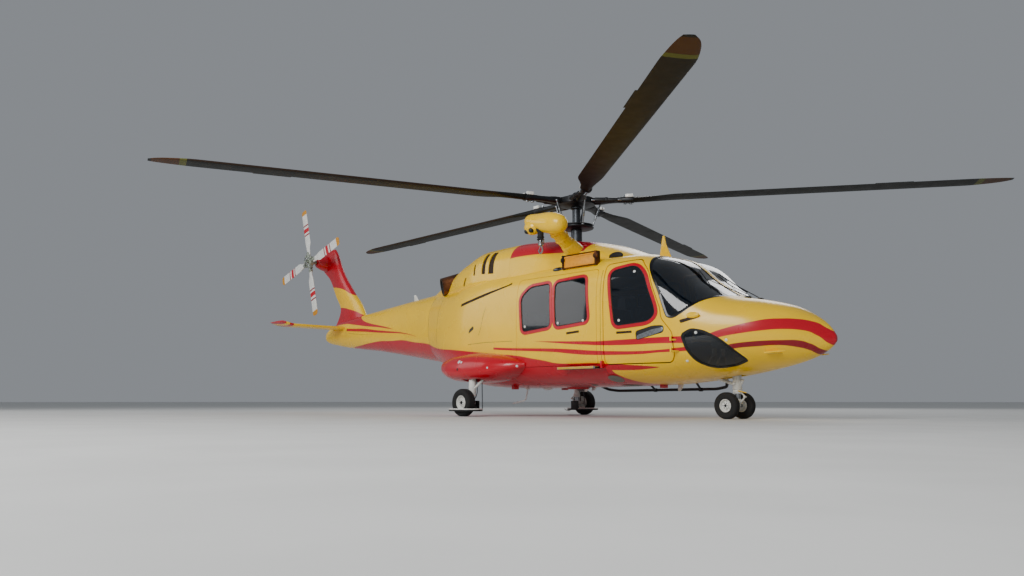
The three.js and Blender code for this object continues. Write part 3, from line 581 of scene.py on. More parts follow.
def edge_path(points, radius, side, post=0, step=20):
    """A side view outline on the hull, as x, y and z, closed along the centre post where it passes one."""
    spots = [beside(HULL, p[0], p[1], side) for p in dense(rounded(points, radius), 3)]
    kept = [abs(spot.y) > post for spot in spots]
    first = next((i for i in range(len(kept)) if kept[i] and not kept[i - 1]), 0)
    path = []
    for i in range(len(spots)):
        spot = spots[(first + i) % len(spots)]
        if abs(spot.y) > post and (not path or (spot - path[-1]).length > step):
            path.append(spot)
    if not all(kept):
        start, end = path[-1].x, path[0].x
        count = round(abs(end - start) / step)
        for k in range(count + 1):
            x = start + (end - start) * k / count
            path.append(onto(HULL, x, side * post, row_at(HULL, x)[3])[0])
    return path


def dense(outline, step):
    """A closed outline with points no further apart than a step."""
    result = []
    for i, here in enumerate(outline):
        ahead = outline[(i + 1) % len(outline)]
        length = math.hypot(ahead[0] - here[0], ahead[1] - here[1])
        if length < 1e-6:
            continue
        count = max(1, math.ceil(length / step))
        for k in range(count):
            t = k / count
            result.append((here[0] + (ahead[0] - here[0]) * t, here[1] + (ahead[1] - here[1]) * t))
    return result


def wing(name, sections):
    """A wing through sections, each a function of place along the chord and half thickness."""
    chord = [0, 0.004, 0.015, 0.04, 0.09, 0.17, 0.3, 0.45, 0.6, 0.75, 0.9, 1]
    half = [0, 0.13, 0.23, 0.33, 0.42, 0.48, 0.5, 0.455, 0.36, 0.24, 0.11, 0.02]
    rings = []
    for section in sections:
        upper = [section(u, h) for u, h in zip(chord, half)]
        lower = [section(u, -h) for u, h in zip(chord, half)][:0:-1]
        rings.append(upper + lower)
    return skin(name, rings)


def finished(obj, body, slot, look, *nodes, angle=35):
    """Gives a piece its finish, the body that it rides on and the frame's nodes that it stands for."""
    obj.data.materials.clear()
    obj.data.materials.append(look)
    smooth(obj, angle)
    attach(obj, body)
    if nodes:
        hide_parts(*nodes)
    return obj


# Side-view lines of the painted bands, as (x, z)
UPPER_STRIPE = (
    [
        (2920, 1150), (2500, 1152), (2000, 1146), (1500, 1146), (1200, 1160), (850, 1175), (400, 1198),
        (60, 1213),
    ],
    [
        (2920, 1050), (2500, 1060), (2000, 1060), (1500, 1078), (1200, 1100), (850, 1130), (400, 1175),
        (60, 1209),
    ],
)
LOWER_STRIPE = (
    [(2980, 1012), (2760, 992), (2500, 975), (2200, 970), (1740, 986), (1250, 1018), (900, 1050), (550, 1076),
     (30, 1104), (-510, 1132), (-900, 1160)],
    [(2980, 950), (2760, 938), (2500, 934), (2200, 920), (1740, 925), (1250, 945), (900, 975), (550, 1015),
     (30, 1052), (-510, 1087), (-900, 1118)],
)
NOSE_BAND = (
    [
        (3150, 1130), (3280, 1190), (3530, 1262), (3770, 1318), (3980, 1350), (4190, 1345), (4380, 1305),
        (4520, 1220), (4640, 1130),
    ],
    [
        (3150, 1060), (3410, 1125), (3600, 1155), (3840, 1185), (4060, 1200), (4270, 1185), (4440, 1110),
        (4540, 1010), (4640, 940),
    ],
)
# The lower stripe under the nose, in deep red: crimson darkened as painted shade
CHIN_BAND = (
    [
        (3300, 960), (3470, 1020), (3740, 1050), (3970, 1060), (4190, 1060), (4360, 1010), (4450, 940),
        (4560, 880),
    ],
    [(3300, 900), (3530, 960), (3790, 980), (4020, 990), (4220, 960), (4340, 915), (4400, 860), (4560, 800)],
)
BELLY = (
    [
        (-7050, 1380), (-6950, 1440), (-6860, 1470), (-6390, 1500), (-5880, 1530), (-5490, 1540),
        (-5000, 1520), (-4570, 1510), (-4050, 1440), (-3520, 1380), (-3080, 1280), (-2640, 1220),
        (-2280, 1190), (-770, 1040), (-350, 1000), (0, 944), (330, 890), (500, 855), (680, 838),
        (1494, 813), (1635, 668), (1797, 559), (1950, 480),
    ],
    [(-7050, 0), (1950, 0)],
)
CHINE = (
    [(1480, 814), (1950, 780), (2230, 758), (2430, 737)],
    [(1480, 735), (1950, 700), (2230, 712), (2430, 734)],
)
FIN_ROOT = (
    [
        (-8200, 2480), (-7410, 2430), (-7160, 2380), (-6930, 2330), (-6710, 2260),
        (-6210, 2030), (-5930, 1960), (-5550, 1890), (-5160, 1820), (-4840, 1745),
    ],
    [
        (-8200, 1850), (-7700, 1990), (-7180, 2020), (-6640, 1970), (-6180, 1910),
        (-5920, 1880), (-5540, 1840), (-5170, 1790), (-4840, 1743),
    ],
)
BOOM_STRIPE = (
    [(-6960, 1905), (-6550, 1878), (-6180, 1855), (-5550, 1778), (-5170, 1738), (-4540, 1668), (-3910, 1545)],
    [(-6960, 1845), (-6550, 1810), (-6180, 1782), (-5550, 1722), (-5170, 1692), (-4540, 1640), (-3910, 1535)],
)
BOOM_LINE = ([(-6840, 1794), (-6390, 1744), (-5780, 1703)], [(-6840, 1785), (-6390, 1735), (-5780, 1698)])
FIN_BAND = (
    [(-8300, 3010), (-7790, 2950), (-7410, 2870), (-7130, 2750), (-6300, 2500)],
    [(-8300, 2480), (-7410, 2430), (-7160, 2380), (-6930, 2330), (-6710, 2260), (-6300, 2060)],
)
FAIRING_RED = (
    [(-700, 3200), (800, 3200)],
    [(-700, 2670), (-430, 2690), (190, 2665), (500, 2650), (800, 2650)],
)
# Stripes over each stabiliser tip: from and to, measured out from the centre plane
TIP_STRIPES = ((1515, 1610), (1680, 1800))


# Materials

def tone(hex_color):
    """An sRGB hex colour as linear values."""
    values = [int(hex_color[i:i + 2], 16) / 255 for i in (1, 3, 5)]
    return [v / 12.92 if v <= 0.04045 else ((v + 0.055) / 1.055) ** 2.4 for v in values] + [1.0]


def put(tree, kind, inputs=None, **settings):
    """Adds a node with its settings, and links or sets its inputs; gives the node."""
    new = tree.nodes.new(kind)
    for key, value in settings.items():
        setattr(new, key, value)
    for key, value in (inputs or {}).items():
        if isinstance(value, bpy.types.NodeSocket):
            tree.links.new(value, new.inputs[key])
        else:
            new.inputs[key].default_value = value
    return new


def started(name):
    """A new material: its tree, its shader and the piece's own coordinates in millimetres."""
    look = bpy.data.materials.new(name)
    look.use_nodes = True
    tree = look.node_tree
    shader = tree.nodes["Principled BSDF"]
    where = put(tree, "ShaderNodeTexCoord").outputs["Object"]
    scaled = put(tree, "ShaderNodeVectorMath", {0: where, "Scale": 1 / MM}, operation="SCALE")
    return look, tree, shader, scaled.outputs[0]


def profile(tree, x, points):
    """A smooth line through side-view points: z for each x, both in millimetres from the mast."""
    points = sorted(points)
    x0, x1 = points[0][0], points[-1][0]
    z0 = min(p[1] for p in points)
    z1 = max(p[1] for p in points) + 1e-3
    share = put(tree, "ShaderNodeMapRange", {"Value": x, "From Min": x0, "From Max": x1})
    curve = put(tree, "ShaderNodeFloatCurve", {"Value": share.outputs[0]})
    line = curve.mapping.curves[0]
    spots = [((px - x0) / (x1 - x0), (pz - z0) / (z1 - z0)) for px, pz in points]
    line.points[0].location = spots[0]
    line.points[-1].location = spots[-1]
    for spot in spots[1:-1]:
        line.points.new(*spot)
    curve.mapping.update()
    return put(tree, "ShaderNodeMapRange", {"Value": curve.outputs[0], "To Min": z0, "To Max": z1}).outputs[0]


def between(tree, x, z, top, bottom, edge=4):
    """1 between two side-view lines and 0 elsewhere, over an edge of some millimetres."""
    ends = (max(min(p[0] for p in line) for line in (top, bottom)),
            min(max(p[0] for p in line) for line in (top, bottom)))
    gaps = [
        put(tree, "ShaderNodeMath", {0: profile(tree, x, top), 1: z}, operation="SUBTRACT").outputs[0],
        put(tree, "ShaderNodeMath", {0: z, 1: profile(tree, x, bottom)}, operation="SUBTRACT").outputs[0],
        put(tree, "ShaderNodeMath", {0: x, 1: ends[0]}, operation="SUBTRACT").outputs[0],
        put(tree, "ShaderNodeMath", {0: ends[1], 1: x}, operation="SUBTRACT").outputs[0],
    ]
    least = gaps[0]
    for gap in gaps[1:]:
        least = put(tree, "ShaderNodeMath", {0: least, 1: gap}, operation="MINIMUM").outputs[0]
    return put(
        tree, "ShaderNodeMath", {0: least, 1: 1 / edge}, operation="MULTIPLY", use_clamp=True,
    ).outputs[0]


def banded(tree, color, bands):
    """A ground colour with other colours over it, each of them where its own mask is 1."""
    for mask, other in bands:
        color = put(tree, "ShaderNodeMix", {0: mask, 6: color, 7: other}, data_type="RGBA").outputs[2]
    return color


def within(tree, value, low, high, edge):
    """1 where a value lies between two limits and 0 elsewhere, over an edge."""
    centre = put(tree, "ShaderNodeMath", {0: value, 1: (low + high) / 2}, operation="SUBTRACT")
    away = put(tree, "ShaderNodeMath", {0: centre.outputs[0]}, operation="ABSOLUTE")
    room = put(tree, "ShaderNodeMath", {0: (high - low) / 2, 1: away.outputs[0]}, operation="SUBTRACT")
    return put(
        tree, "ShaderNodeMath", {0: room.outputs[0], 1: 1 / edge}, operation="MULTIPLY", use_clamp=True,
    ).outputs[0]


def enamel(name, base, bands=()):
    """Gloss polyurethane enamel: bands of other colours, faint dust and dulled patches."""
    look, tree, shader, where = started(name)
    apart = put(tree, "ShaderNodeSeparateXYZ", {0: where}).outputs
    x = put(tree, "ShaderNodeMath", {0: apart[0], 1: MAST_X}, operation="SUBTRACT").outputs[0]
    masks = [(between(tree, x, apart[2], top, bottom), paint(band)) for band, top, bottom in bands]
    return glossed(look, tree, shader, where, banded(tree, paint(base), masks))


def stabiliser_enamel(name):
    """Gloss yellow enamel with two crimson stripes across each tip."""
    look, tree, shader, where = started(name)
    apart = put(tree, "ShaderNodeSeparateXYZ", {0: where}).outputs
    out = put(tree, "ShaderNodeMath", {0: apart[1]}, operation="ABSOLUTE").outputs[0]
    masks = [(within(tree, out, low, high, 6), paint("crimson")) for low, high in TIP_STRIPES]
    return glossed(look, tree, shader, where, banded(tree, paint("yellow"), masks))


def blade_finish(name, base, other, bands, edge_color, roughness):
    """A blade's finish on its own UV map: bands by reach in millimetres, and a worn leading edge."""
    look, tree, shader, where = started(name)
    spot = put(tree, "ShaderNodeUVMap", uv_map="reach").outputs[0]
    apart = put(tree, "ShaderNodeSeparateXYZ", {0: spot}).outputs
    reach = put(tree, "ShaderNodeMath", {0: apart[0], 1: 10000}, operation="MULTIPLY").outputs[0]
    chord = put(tree, "ShaderNodeMath", {0: apart[1], 1: 1000}, operation="MULTIPLY").outputs[0]
    grime = put(tree, "ShaderNodeTexNoise", {"Vector": where, "Scale": 1 / 160, "Detail": 5}).outputs[0]
    masks = [(grime, tone(other))]
    if edge_color:
        edge = put(tree, "ShaderNodeMapRange", {"Value": chord, "From Min": 596, "From Max": 606}).outputs[0]
        masks.append((edge, tone(edge_color)))
    masks += [(within(tree, reach, low, high, 3), color) for color, low, high in bands]
    tree.links.new(banded(tree, tone(base), masks), shader.inputs["Base Color"])
    rough = put(
        tree, "ShaderNodeMapRange", {"Value": grime, "To Min": roughness - 0.1, "To Max": roughness + 0.1},
    )
    tree.links.new(rough.outputs[0], shader.inputs["Roughness"])
    shader.inputs["Specular IOR Level"].default_value = 0.25
    return look


def glossed(look, tree, shader, where, color):
    """Finishes an enamel: patches that dust has dulled, 700 mm across, and spray mottle of 25 mm."""
    patches = put(tree, "ShaderNodeTexNoise", {"Vector": where, "Scale": 1 / 700, "Detail": 5}).outputs[0]
    shade = put(
        tree, "ShaderNodeMapRange",
        {"Value": patches, "From Min": 0.3, "From Max": 0.7, "To Min": 0.9, "To Max": 1.0},
    )
    dusty = put(
        tree, "ShaderNodeMix", {0: 1.0, 6: color, 7: shade.outputs[0]}, data_type="RGBA",
        blend_type="MULTIPLY",
    )
    tree.links.new(dusty.outputs[2], shader.inputs["Base Color"])
    dull = put(
        tree, "ShaderNodeMapRange",
        {"Value": patches, "From Min": 0.3, "From Max": 0.7, "To Min": 0.34, "To Max": 0.2},
    )
    tree.links.new(dull.outputs[0], shader.inputs["Roughness"])
    mottle = put(tree, "ShaderNodeTexNoise", {"Vector": where, "Scale": 1 / 25, "Detail": 2}).outputs[0]
    peel = put(tree, "ShaderNodeBump", {"Height": mottle, "Strength": 0.04, "Distance": 0.001})
    tree.links.new(peel.outputs[0], shader.inputs["Normal"])
    shader.inputs["Coat Weight"].default_value = 0.15
    shader.inputs["Coat Roughness"].default_value = 0.06
    return look


# How far grain moves the roughness to either side
ROUGH_SPREAD = 0.08


def coarse(name, color, other, grain, roughness, bump=0.2, metallic=0.0):
    """A finish of two mixed tones with grain of one size in millimetres, in colour, roughness and bump."""
    look, tree, shader, where = started(name)
    noise = put(tree, "ShaderNodeTexNoise", {"Vector": where, "Scale": 1 / grain, "Detail": 4}).outputs[0]
    share = put(tree, "ShaderNodeMapRange", {"Value": noise, "From Min": 0.35, "From Max": 0.65}).outputs[0]
    mixed = put(tree, "ShaderNodeMix", {0: share, 6: tone(color), 7: tone(other)}, data_type="RGBA")
    tree.links.new(mixed.outputs[2], shader.inputs["Base Color"])
    rough = put(
        tree, "ShaderNodeMapRange",
        {"Value": noise, "To Min": roughness - ROUGH_SPREAD, "To Max": roughness + ROUGH_SPREAD},
    )
    tree.links.new(rough.outputs[0], shader.inputs["Roughness"])
    relief = put(tree, "ShaderNodeBump", {"Height": noise, "Strength": bump, "Distance": 0.001})
    tree.links.new(relief.outputs[0], shader.inputs["Normal"])
    shader.inputs["Metallic"].default_value = metallic
    return look


def acrylic(name, color, alpha):
    """Stretched acrylic, tinted: see-through with sharp reflections and a breath of haze."""
    look, tree, shader, where = started(name)
    shader.inputs["Base Color"].default_value = tone(color)
    shader.inputs["Alpha"].default_value = alpha
    shader.inputs["Coat Weight"].default_value = 1.0
    shader.inputs["Coat Roughness"].default_value = 0.02
    haze = put(tree, "ShaderNodeTexNoise", {"Vector": where, "Scale": 1 / 300, "Detail": 4}).outputs[0]
    rough = put(tree, "ShaderNodeMapRange", {"Value": haze, "To Min": 0.02, "To Max": 0.1})
    tree.links.new(rough.outputs[0], shader.inputs["Roughness"])
    return look


# Settings that a user would change

def color_setting(name, description, hex_color):
    """A colour that a user may change."""
    return bpy.props.FloatVectorProperty(
        name=name, description=description, default=tone(hex_color)[:3], size=3, min=0, max=1,
        subtype="COLOR",
    )


def size_setting(name, description, value):
    """A length that a user may change, given in millimetres."""
    return bpy.props.FloatProperty(
        name=name, description=description, default=value * MM, min=0, subtype="DISTANCE", unit="LENGTH",
    )


class HelicopterPaint(bpy.types.PropertyGroup):
    """Colours of the livery."""
    yellow: color_setting("Yellow", "Main colour of hull, boom and cowling", "#FFCC00")
    crimson: color_setting("Crimson", "Stripes, sponsons, belly and fin", "#C00420")
    # Deep red is crimson darkened; on the stripe under the nose it is painted shade
    deep_red: color_setting("Deep red", "Lower stripe under the nose", "#8E0A1C")
    brown: color_setting("Brown", "Thin line along the boom", "#2A1508")
    white: color_setting("White", "Gear legs, wheels and tail rotor blades", "#E4E4DE")


class HelicopterSizes(bpy.types.PropertyGroup):
    """Widths of gaps and trims."""
    seam: size_setting("Panel gap", "Half the gap round a cabin door", 3)
    surround: size_setting("Window surround", "Width of the red ring round a side window", 52)
    seal: size_setting("Side window seal", "Width of the rubber inside a side window", 12)
    wide_seal: size_setting(
        "Windscreen seal", "Width of the black band inside windscreen and chin windows", 42,
    )


class StudioSettings(bpy.types.PropertyGroup):
    """Camera and light."""
    distance: size_setting(
        "Camera distance", "From the camera to the machine's middle, along the floor", 15800,
    )
    height: size_setting("Camera height", "Height of the camera over the floor", 250)
    key_power: bpy.props.FloatProperty(
        name="Key light", description="Power of the large lamp on the right", default=2600, min=0,
        unit="POWER",
    )


def paint(name):
    """A livery colour with its alpha."""
    return [*getattr(bpy.context.scene.helicopter_paint, name), 1.0]


def chosen(name):
    """A trim size in millimetres."""
    return getattr(bpy.context.scene.helicopter_sizes, name) / MM


LOOKS = {}


class HELICOPTER_OT_finishes(bpy.types.Operator):
    """Makes every material, named for the real finish."""
    bl_idname = "helicopter.finishes"
    bl_label = "Finishes"

    def execute(self, context):
        # Two-pack gloss enamel: deep colour under a clear skin, with soft patches where dust sits
        LOOKS["skin"] = enamel("Yellow polyurethane enamel on aluminium skin", "yellow", [
            ("crimson", *UPPER_STRIPE), ("crimson", *LOWER_STRIPE), ("crimson", *NOSE_BAND),
            # The chin band's deep red is painted shade on the crimson stripe
            ("deep_red", *CHIN_BAND), ("crimson", *BELLY), ("crimson", *CHINE),
        ])
        LOOKS["boom"] = enamel("Yellow polyurethane enamel on composite boom", "yellow", [
            ("crimson", *BELLY), ("crimson", *FIN_ROOT), ("crimson", *BOOM_STRIPE), ("brown", *BOOM_LINE),
        ])
        LOOKS["fin"] = enamel(
            "Crimson polyurethane enamel on composite fin", "crimson", [("yellow", *FIN_BAND)],
        )
        LOOKS["fairing"] = enamel(
            "Yellow polyurethane enamel on composite fairing", "yellow", [("crimson", *FAIRING_RED)],
        )
        LOOKS["stabiliser"] = stabiliser_enamel("Yellow polyurethane enamel on stabiliser")
        LOOKS["yellow"] = enamel("Yellow polyurethane enamel", "yellow")
        LOOKS["amber"] = coarse("Amber polyurethane enamel", "#E59A00", "#D98C00", 40, 0.35, bump=0.02)
        LOOKS["crimson"] = enamel("Crimson polyurethane enamel", "crimson")
        LOOKS["white"] = enamel("White epoxy enamel", "white")
        # Stretched acrylic: dark, sharp reflections, the cabin dimly seen behind
        LOOKS["pane"] = acrylic("Tinted stretched acrylic", "#06101A", 0.66)
        LOOKS["screen"] = acrylic("Dark display glass", "#06090C", 1.0)
        LOOKS["lamp"] = acrylic("Clear moulded polycarbonate", "#DFE6EA", 0.9)
        # Moulded rubber: dull black with fine grain; the same black is painted shade in the roof intake's
        # mouth
        LOOKS["rubber"] = coarse("Moulded black rubber", "#0B0B0C", "#151516", 6, 0.75)
        # Ceramic print round the glass: black and glossy
        LOOKS["edge_print"] = coarse("Black ceramic edge print", "#030304", "#060608", 30, 0.22, bump=0.02)
        # Glass-fibre covers over antennas, left grey and dull
        LOOKS["radome"] = coarse("Grey glass-fibre radome", "#74746E", "#68685F", 30, 0.6, bump=0.05)
        # Painted shade lining grooves, slots, louvres, the nose wheel well and scoops: dark brown, matt.
        # Round a door frame: brown ochre, matt
        LOOKS["groove_shade"] = coarse("Ochre primer in a groove", "#33200C", "#241607", 20, 0.8, bump=0.05)
        LOOKS["ochre"] = coarse("Ochre primer on a door frame", "#8A6410", "#77540C", 30, 0.7, bump=0.05)
        # Vulcanised rubber, dusty and matt; moulded nylon, black with a slight sheen, whose black is also
        # painted shade in the vents, the sponson holes, the hoist's holes and the main wheel wells
        LOOKS["tyre"] = coarse("Vulcanised tyre rubber", "#101011", "#1D1C1B", 14, 0.85, bump=0.35)
        LOOKS["plastic"] = coarse("Black moulded nylon", "#101113", "#17181A", 4, 0.5)
        # Carbon blades under black polyurethane, dulled brown by dust along the worn leading edge
        LOOKS["blade"] = blade_finish("Black polyurethane on carbon blade", "#0A0C0B", "#14150F", (
            (tone("#5A5B22"), 6380, 6480), (tone("#4A2A0C"), 6480, 6860),
        ), "#2B1D12", 0.5)
        # The same blades under white, with warning bands for those on the ground
        LOOKS["tail_blade"] = blade_finish("White polyurethane on carbon blade", "#E8E8E4", "#D2D2CC", (
            (paint("deep_red"), 684, 722), (paint("crimson"), 766, 876), (paint("deep_red"), 932, 970),
            (tone("#C98A1E"), 1240, 1400),
        ), None, 0.4)
        # Machined and cast metal: bright where it slides, dull grey where it was cast
        LOOKS["steel"] = coarse(
            "Machined stainless steel", "#A9ACB0", "#85888C", 30, 0.3, metallic=1.0, bump=0.1,
        )
        LOOKS["anodised"] = coarse(
            "Pale green anodised forging", "#A3AA9C", "#7E857A", 25, 0.4, metallic=0.5, bump=0.1,
        )
        LOOKS["cast"] = coarse("Shot-peened titanium", "#55585C", "#3F4245", 20, 0.45, metallic=1.0, bump=0.2)
        LOOKS["dark"] = coarse(
            "Black anodised aluminium", "#131416", "#1E2023", 25, 0.42, metallic=0.4, bump=0.1,
        )
        # Nickel steel sheet that exhaust gas has browned; the same brown paints the shadow lines along the
        # door rail box
        LOOKS["burnt"] = coarse(
            "Heat-stained steel sheet", "#2A211D", "#7A4A2A", 220, 0.38, metallic=0.9, bump=0.05,
        )
        # Soot inside the pipes takes all the shine away
        LOOKS["soot"] = coarse("Sooty steel sheet", "#0C0B0A", "#1B1714", 60, 0.8, bump=0.1)
        # Woven wool cloth, threads 1.2 mm apart drawn at 3 mm so that they show
        LOOKS["cloth"] = coarse("Woven seat cloth", "#23262E", "#343843", 3, 0.9, bump=0.5)
        # Knitted lining, pale and soft; grit in black paint, rough to the sole
        LOOKS["trim"] = coarse("Pale fabric lining", "#B9B6AC", "#A7A49B", 5, 0.85, bump=0.3)
        LOOKS["floor"] = coarse("Black grit floor paint", "#15161A", "#26272B", 2, 0.7, bump=0.5)
        return {"FINISHED"}


# Hull and doors

def hull_wall(name):
    """The hull's wall: the outer skin with the cabin's space taken out, open at its aft end."""
    wall = loft(name, HULL, 50, 160)
    space = loft("space", HULL, 80, 96, inset=WALL, start=-3401, end=4480)
    return cut(wall, space)


def patch(name, table, outline, radius, side, low, high, middle=0):
    """A thin piece that follows a skin inside a side view outline, between two heights over it."""
    xs = [p[0] for p in outline]
    start = max(min(xs) - 30, table[0][0])
    end = min(max(xs) + 30, table[-1][0])
    body = loft(name, table, 15, 192, inset=-high, middle=middle, start=start, end=end)
    cut(body, loft("under", table, 15, 192, inset=-low, middle=middle, start=start - 1, end=end + 1))
    return cut(body, prism("edge", outline, radius, 200, FAR, side), "INTERSECT")


def recess(skin_piece, name, table, tool, start, end, depth, body, look):
    """Cuts a tool's shape a little way into a skin, and lines the floor of the cut with a darker piece."""
    liner = loft(name, table, 15, 192, inset=depth - 1, start=start, end=end)
    cut(liner, loft("under", table, 15, 192, inset=depth + 1, start=start - 1, end=end + 1))
    cut(liner, copied(tool, "tool"), "INTERSECT")
    cut(tool, loft("under", table, 15, 192, inset=depth, start=start, end=end))
    cut(skin_piece, tool)
    finished(liner, body, "black_moulded_plastic", LOOKS[look])


# By default a recess's floor is lined with the dark brown painted shade
def sunk(skin_piece, name, table, outline, radius, side, depth, body="airframe", look="groove_shade"):
    """Cuts a shallow recess of a side view outline in a skin."""
    xs = [p[0] for p in outline]
    tool = prism("recess", outline, radius, NEAR, FAR, side)
    recess(skin_piece, name, table, tool, min(xs) - 30, max(xs) + 30, depth, body, look)


# Thin slots in the skin seen from the side, on the hull, the cabin door and the cockpit door
RAIL_SLOT = [
    (-1885, 1930), (-1865, 1985), (-1200, 2102), (-600, 2206), (-520, 2240), (-510, 2200), (-1190, 2052),
]
CABIN_SLOT = [(800, 1280), (1070, 1295), (1070, 1330), (800, 1315)]
COCKPIT_SLOT = [(1800, 1232), (2080, 1232), (2080, 1266), (1800, 1268)]
HANDLE_RECESS = [(2150, 1120), (2140, 1255), (2420, 1320), (2600, 1318), (2600, 1215)]
HANDLE = [(2170, 1135), (2165, 1190), (2400, 1262), (2585, 1290), (2585, 1235), (2430, 1190)]
HINGE_X = 2735
HINGE_Y = 1065
HINGE_HEIGHTS = (960, 1120)


def hinge_eyes(name, side, above, below, arm_x):
    """The eyes of both hinges on one leaf, each on its arm from the skin."""
    pieces = []
    for height in HINGE_HEIGHTS:
        low, high = (HINGE_X, side * HINGE_Y, height + below), (HINGE_X, side * HINGE_Y, height + above)
        middle = (HINGE_X, side * HINGE_Y, height + (above + below) / 2)
        pieces.append(rod(name, low, high, 15, bevel=2))
        pieces.append(rod(name, middle, (arm_x, middle[1] - side * 110, middle[2]), 12, bevel=2))
    return joined(name, pieces)


# The left exhaust's open end, and the way it points
EXHAUST_MOUTH = (-3030, 710, 2400)
EXHAUST_AXIS = (-0.9443, 0.2794, -0.1734)


def exhaust_line(side):
    """The middle of an exhaust's open end and the way it points."""
    flip = Vector((1, side, 1))
    return Vector(EXHAUST_MOUTH) * flip, Vector(EXHAUST_AXIS) * flip


def exhaust_room(side):
    """The room inside an exhaust, which the skins round it stay out of."""
    mouth, axis = exhaust_line(side)
    return rod("bore", mouth - axis * 560, mouth + axis * 100, 152, sides=64)


class HELICOPTER_OT_fuselage(bpy.types.Operator):
    """Hollow fuselage wall with its door and window openings, pads and pitot fins."""
    bl_idname = "helicopter.fuselage"
    bl_label = "Fuselage"

    def execute(self, context):
        shell = hull_wall("skin_fuselage")
        for name, side in SIDES:
            cutters = [
                prism("door", COCKPIT_DOOR, DOOR_RADIUS + DOOR_GAP / 2, NEAR, FAR, side, DOOR_GAP),
                prism("cabin", CABIN_DOOR, CABIN_DOOR_RADIUS, NEAR, FAR, side, chosen("seam")),
                prism("screen", WINDSCREEN, WINDOW_RADIUS, WINDSCREEN_POST, FAR, side),
                prism("chin", CHIN_WINDOW, CHIN_RADIUS, CHIN_POST, FAR, side),
                exhaust_room(side),
            ]
            for cutter in cutters:
                cut(shell, cutter)
            # The rail slot's floor is dark brown painted shade
            sunk(shell, f"slot_door_rail_{name}", HULL, RAIL_SLOT, 12, side, 10)
            for door, radius in ((COCKPIT_DOOR, DOOR_RADIUS), (CABIN_DOOR, CABIN_DOOR_RADIUS)):
                behind = [(-24, -52), (-24, -43), (30, -43), (30, -52)]
                jamb = trim(f"jamb_{len(bpy.data.objects)}", HULL, edge_path(door, radius, side), behind)
                finished(jamb, "airframe", "black_moulded_plastic", LOOKS["ochre"])
            eyes = hinge_eyes(f"hinge_eyes_frame_{name}", side, -0.5, -34, HINGE_X + 50)
            finished(eyes, "airframe", "yellow_painted_skin", LOOKS["yellow"])
            fin = self.pitot(name, side)
            finished(fin, "airframe", "yellow_painted_skin", LOOKS["yellow"])
        # The nose wheel well is lined with dark brown painted shade
        well = box("well", 2880, 3240, -92, 92, 300, 700, 24)
        recess(shell, "well_nose_gear", HULL, well, 2800, 3300, 30, "airframe", "groove_shade")
        finished(shell, "airframe", "yellow_painted_skin", LOOKS["skin"], "fuselage_shell")
        pads = [box("pad", -130, 130, -130, 130, 455, 505, 6)]
        for x, y in ((1800, 0), (-900, 620), (-900, -620)):
            pads.append(box("pad", x - 45, x + 45, y - 45, y + 45, 455, 535, 5))
        finished(joined("pads_belly", pads), "airframe", "yellow_painted_skin", LOOKS["crimson"])
        return {"FINISHED"}

    def pitot(self, name, side):
        """A swept fin on the nose that carries a forward tube."""
        outline = [at(x, side * y, 880) for x, y in ((3840, 380), (4040, 300), (4000, 590), (3900, 600))]
        fin = plate("fin", outline, 26, 8)
        fin.data.transform(Matrix.Translation((0, 0, 880 * MM - min(v.co.z for v in fin.data.vertices))))
        tube_piece = rod("pitot", (3900, side * 585, 893), (4150, side * 585, 903), 14, 11, bevel=3)
        tip = rod("pitot", (4150, side * 585, 903), (4210, side * 585, 905), 7, 7, bevel=2)
        return joined(f"pitot_fin_{name}", [tube_piece, tip, fin])


class HELICOPTER_OT_doors(bpy.types.Operator):
    """Cockpit doors with their handles and hinges, and the cabin's plug doors."""
    bl_idname = "helicopter.doors"
    bl_label = "Doors"

    def execute(self, context):
        for name, side in SIDES:
            body = f"cockpit_door_{name}"
            door = hull_wall(f"skin_cockpit_door_{name}")
            cut(door, prism("door", COCKPIT_DOOR, DOOR_RADIUS, NEAR, FAR, side), "INTERSECT")
            cut(door, prism("window", COCKPIT_WINDOW, COCKPIT_WINDOW_RADIUS, NEAR, FAR, side))
            # The door slot's floor is dark brown painted shade
            sunk(door, f"slot_cockpit_door_{name}", HULL, COCKPIT_SLOT, 8, side, 8, body)
            sunk(door, f"recess_handle_{name}", HULL, HANDLE_RECESS, 45, side, 14, body, "plastic")
            finished(door, body, "yellow_painted_skin", LOOKS["skin"], f"cockpit_door_{name}")
            handle = patch(f"handle_{name}", HULL, HANDLE, 22, side, -8, 1)
            modified(handle, "BEVEL", width=2 * MM, segments=2, limit_method="ANGLE")
            finished(handle, body, "machined_steel", LOOKS["steel"])
            eyes = hinge_eyes(f"hinge_eyes_door_{name}", side, 34, 0, HINGE_X - 60)
            finished(eyes, body, "yellow_painted_skin", LOOKS["yellow"])
            door = hull_wall(f"skin_cabin_door_{name}")
            cut(
                door, prism("door", CABIN_DOOR, CABIN_DOOR_RADIUS, NEAR, FAR, side, -chosen("seam")),
                "INTERSECT",
            )
            for window in CABIN_WINDOWS.values():
                cut(door, prism("window", window, WINDOW_RADIUS, NEAR, FAR, side))
            # The door slot's floor is dark brown painted shade
            sunk(door, f"slot_cabin_door_{name}", HULL, CABIN_SLOT, 8, side, 8)
            finished(door, "airframe", "yellow_painted_skin", LOOKS["skin"], f"cabin_door_{name}")
        return {"FINISHED"}


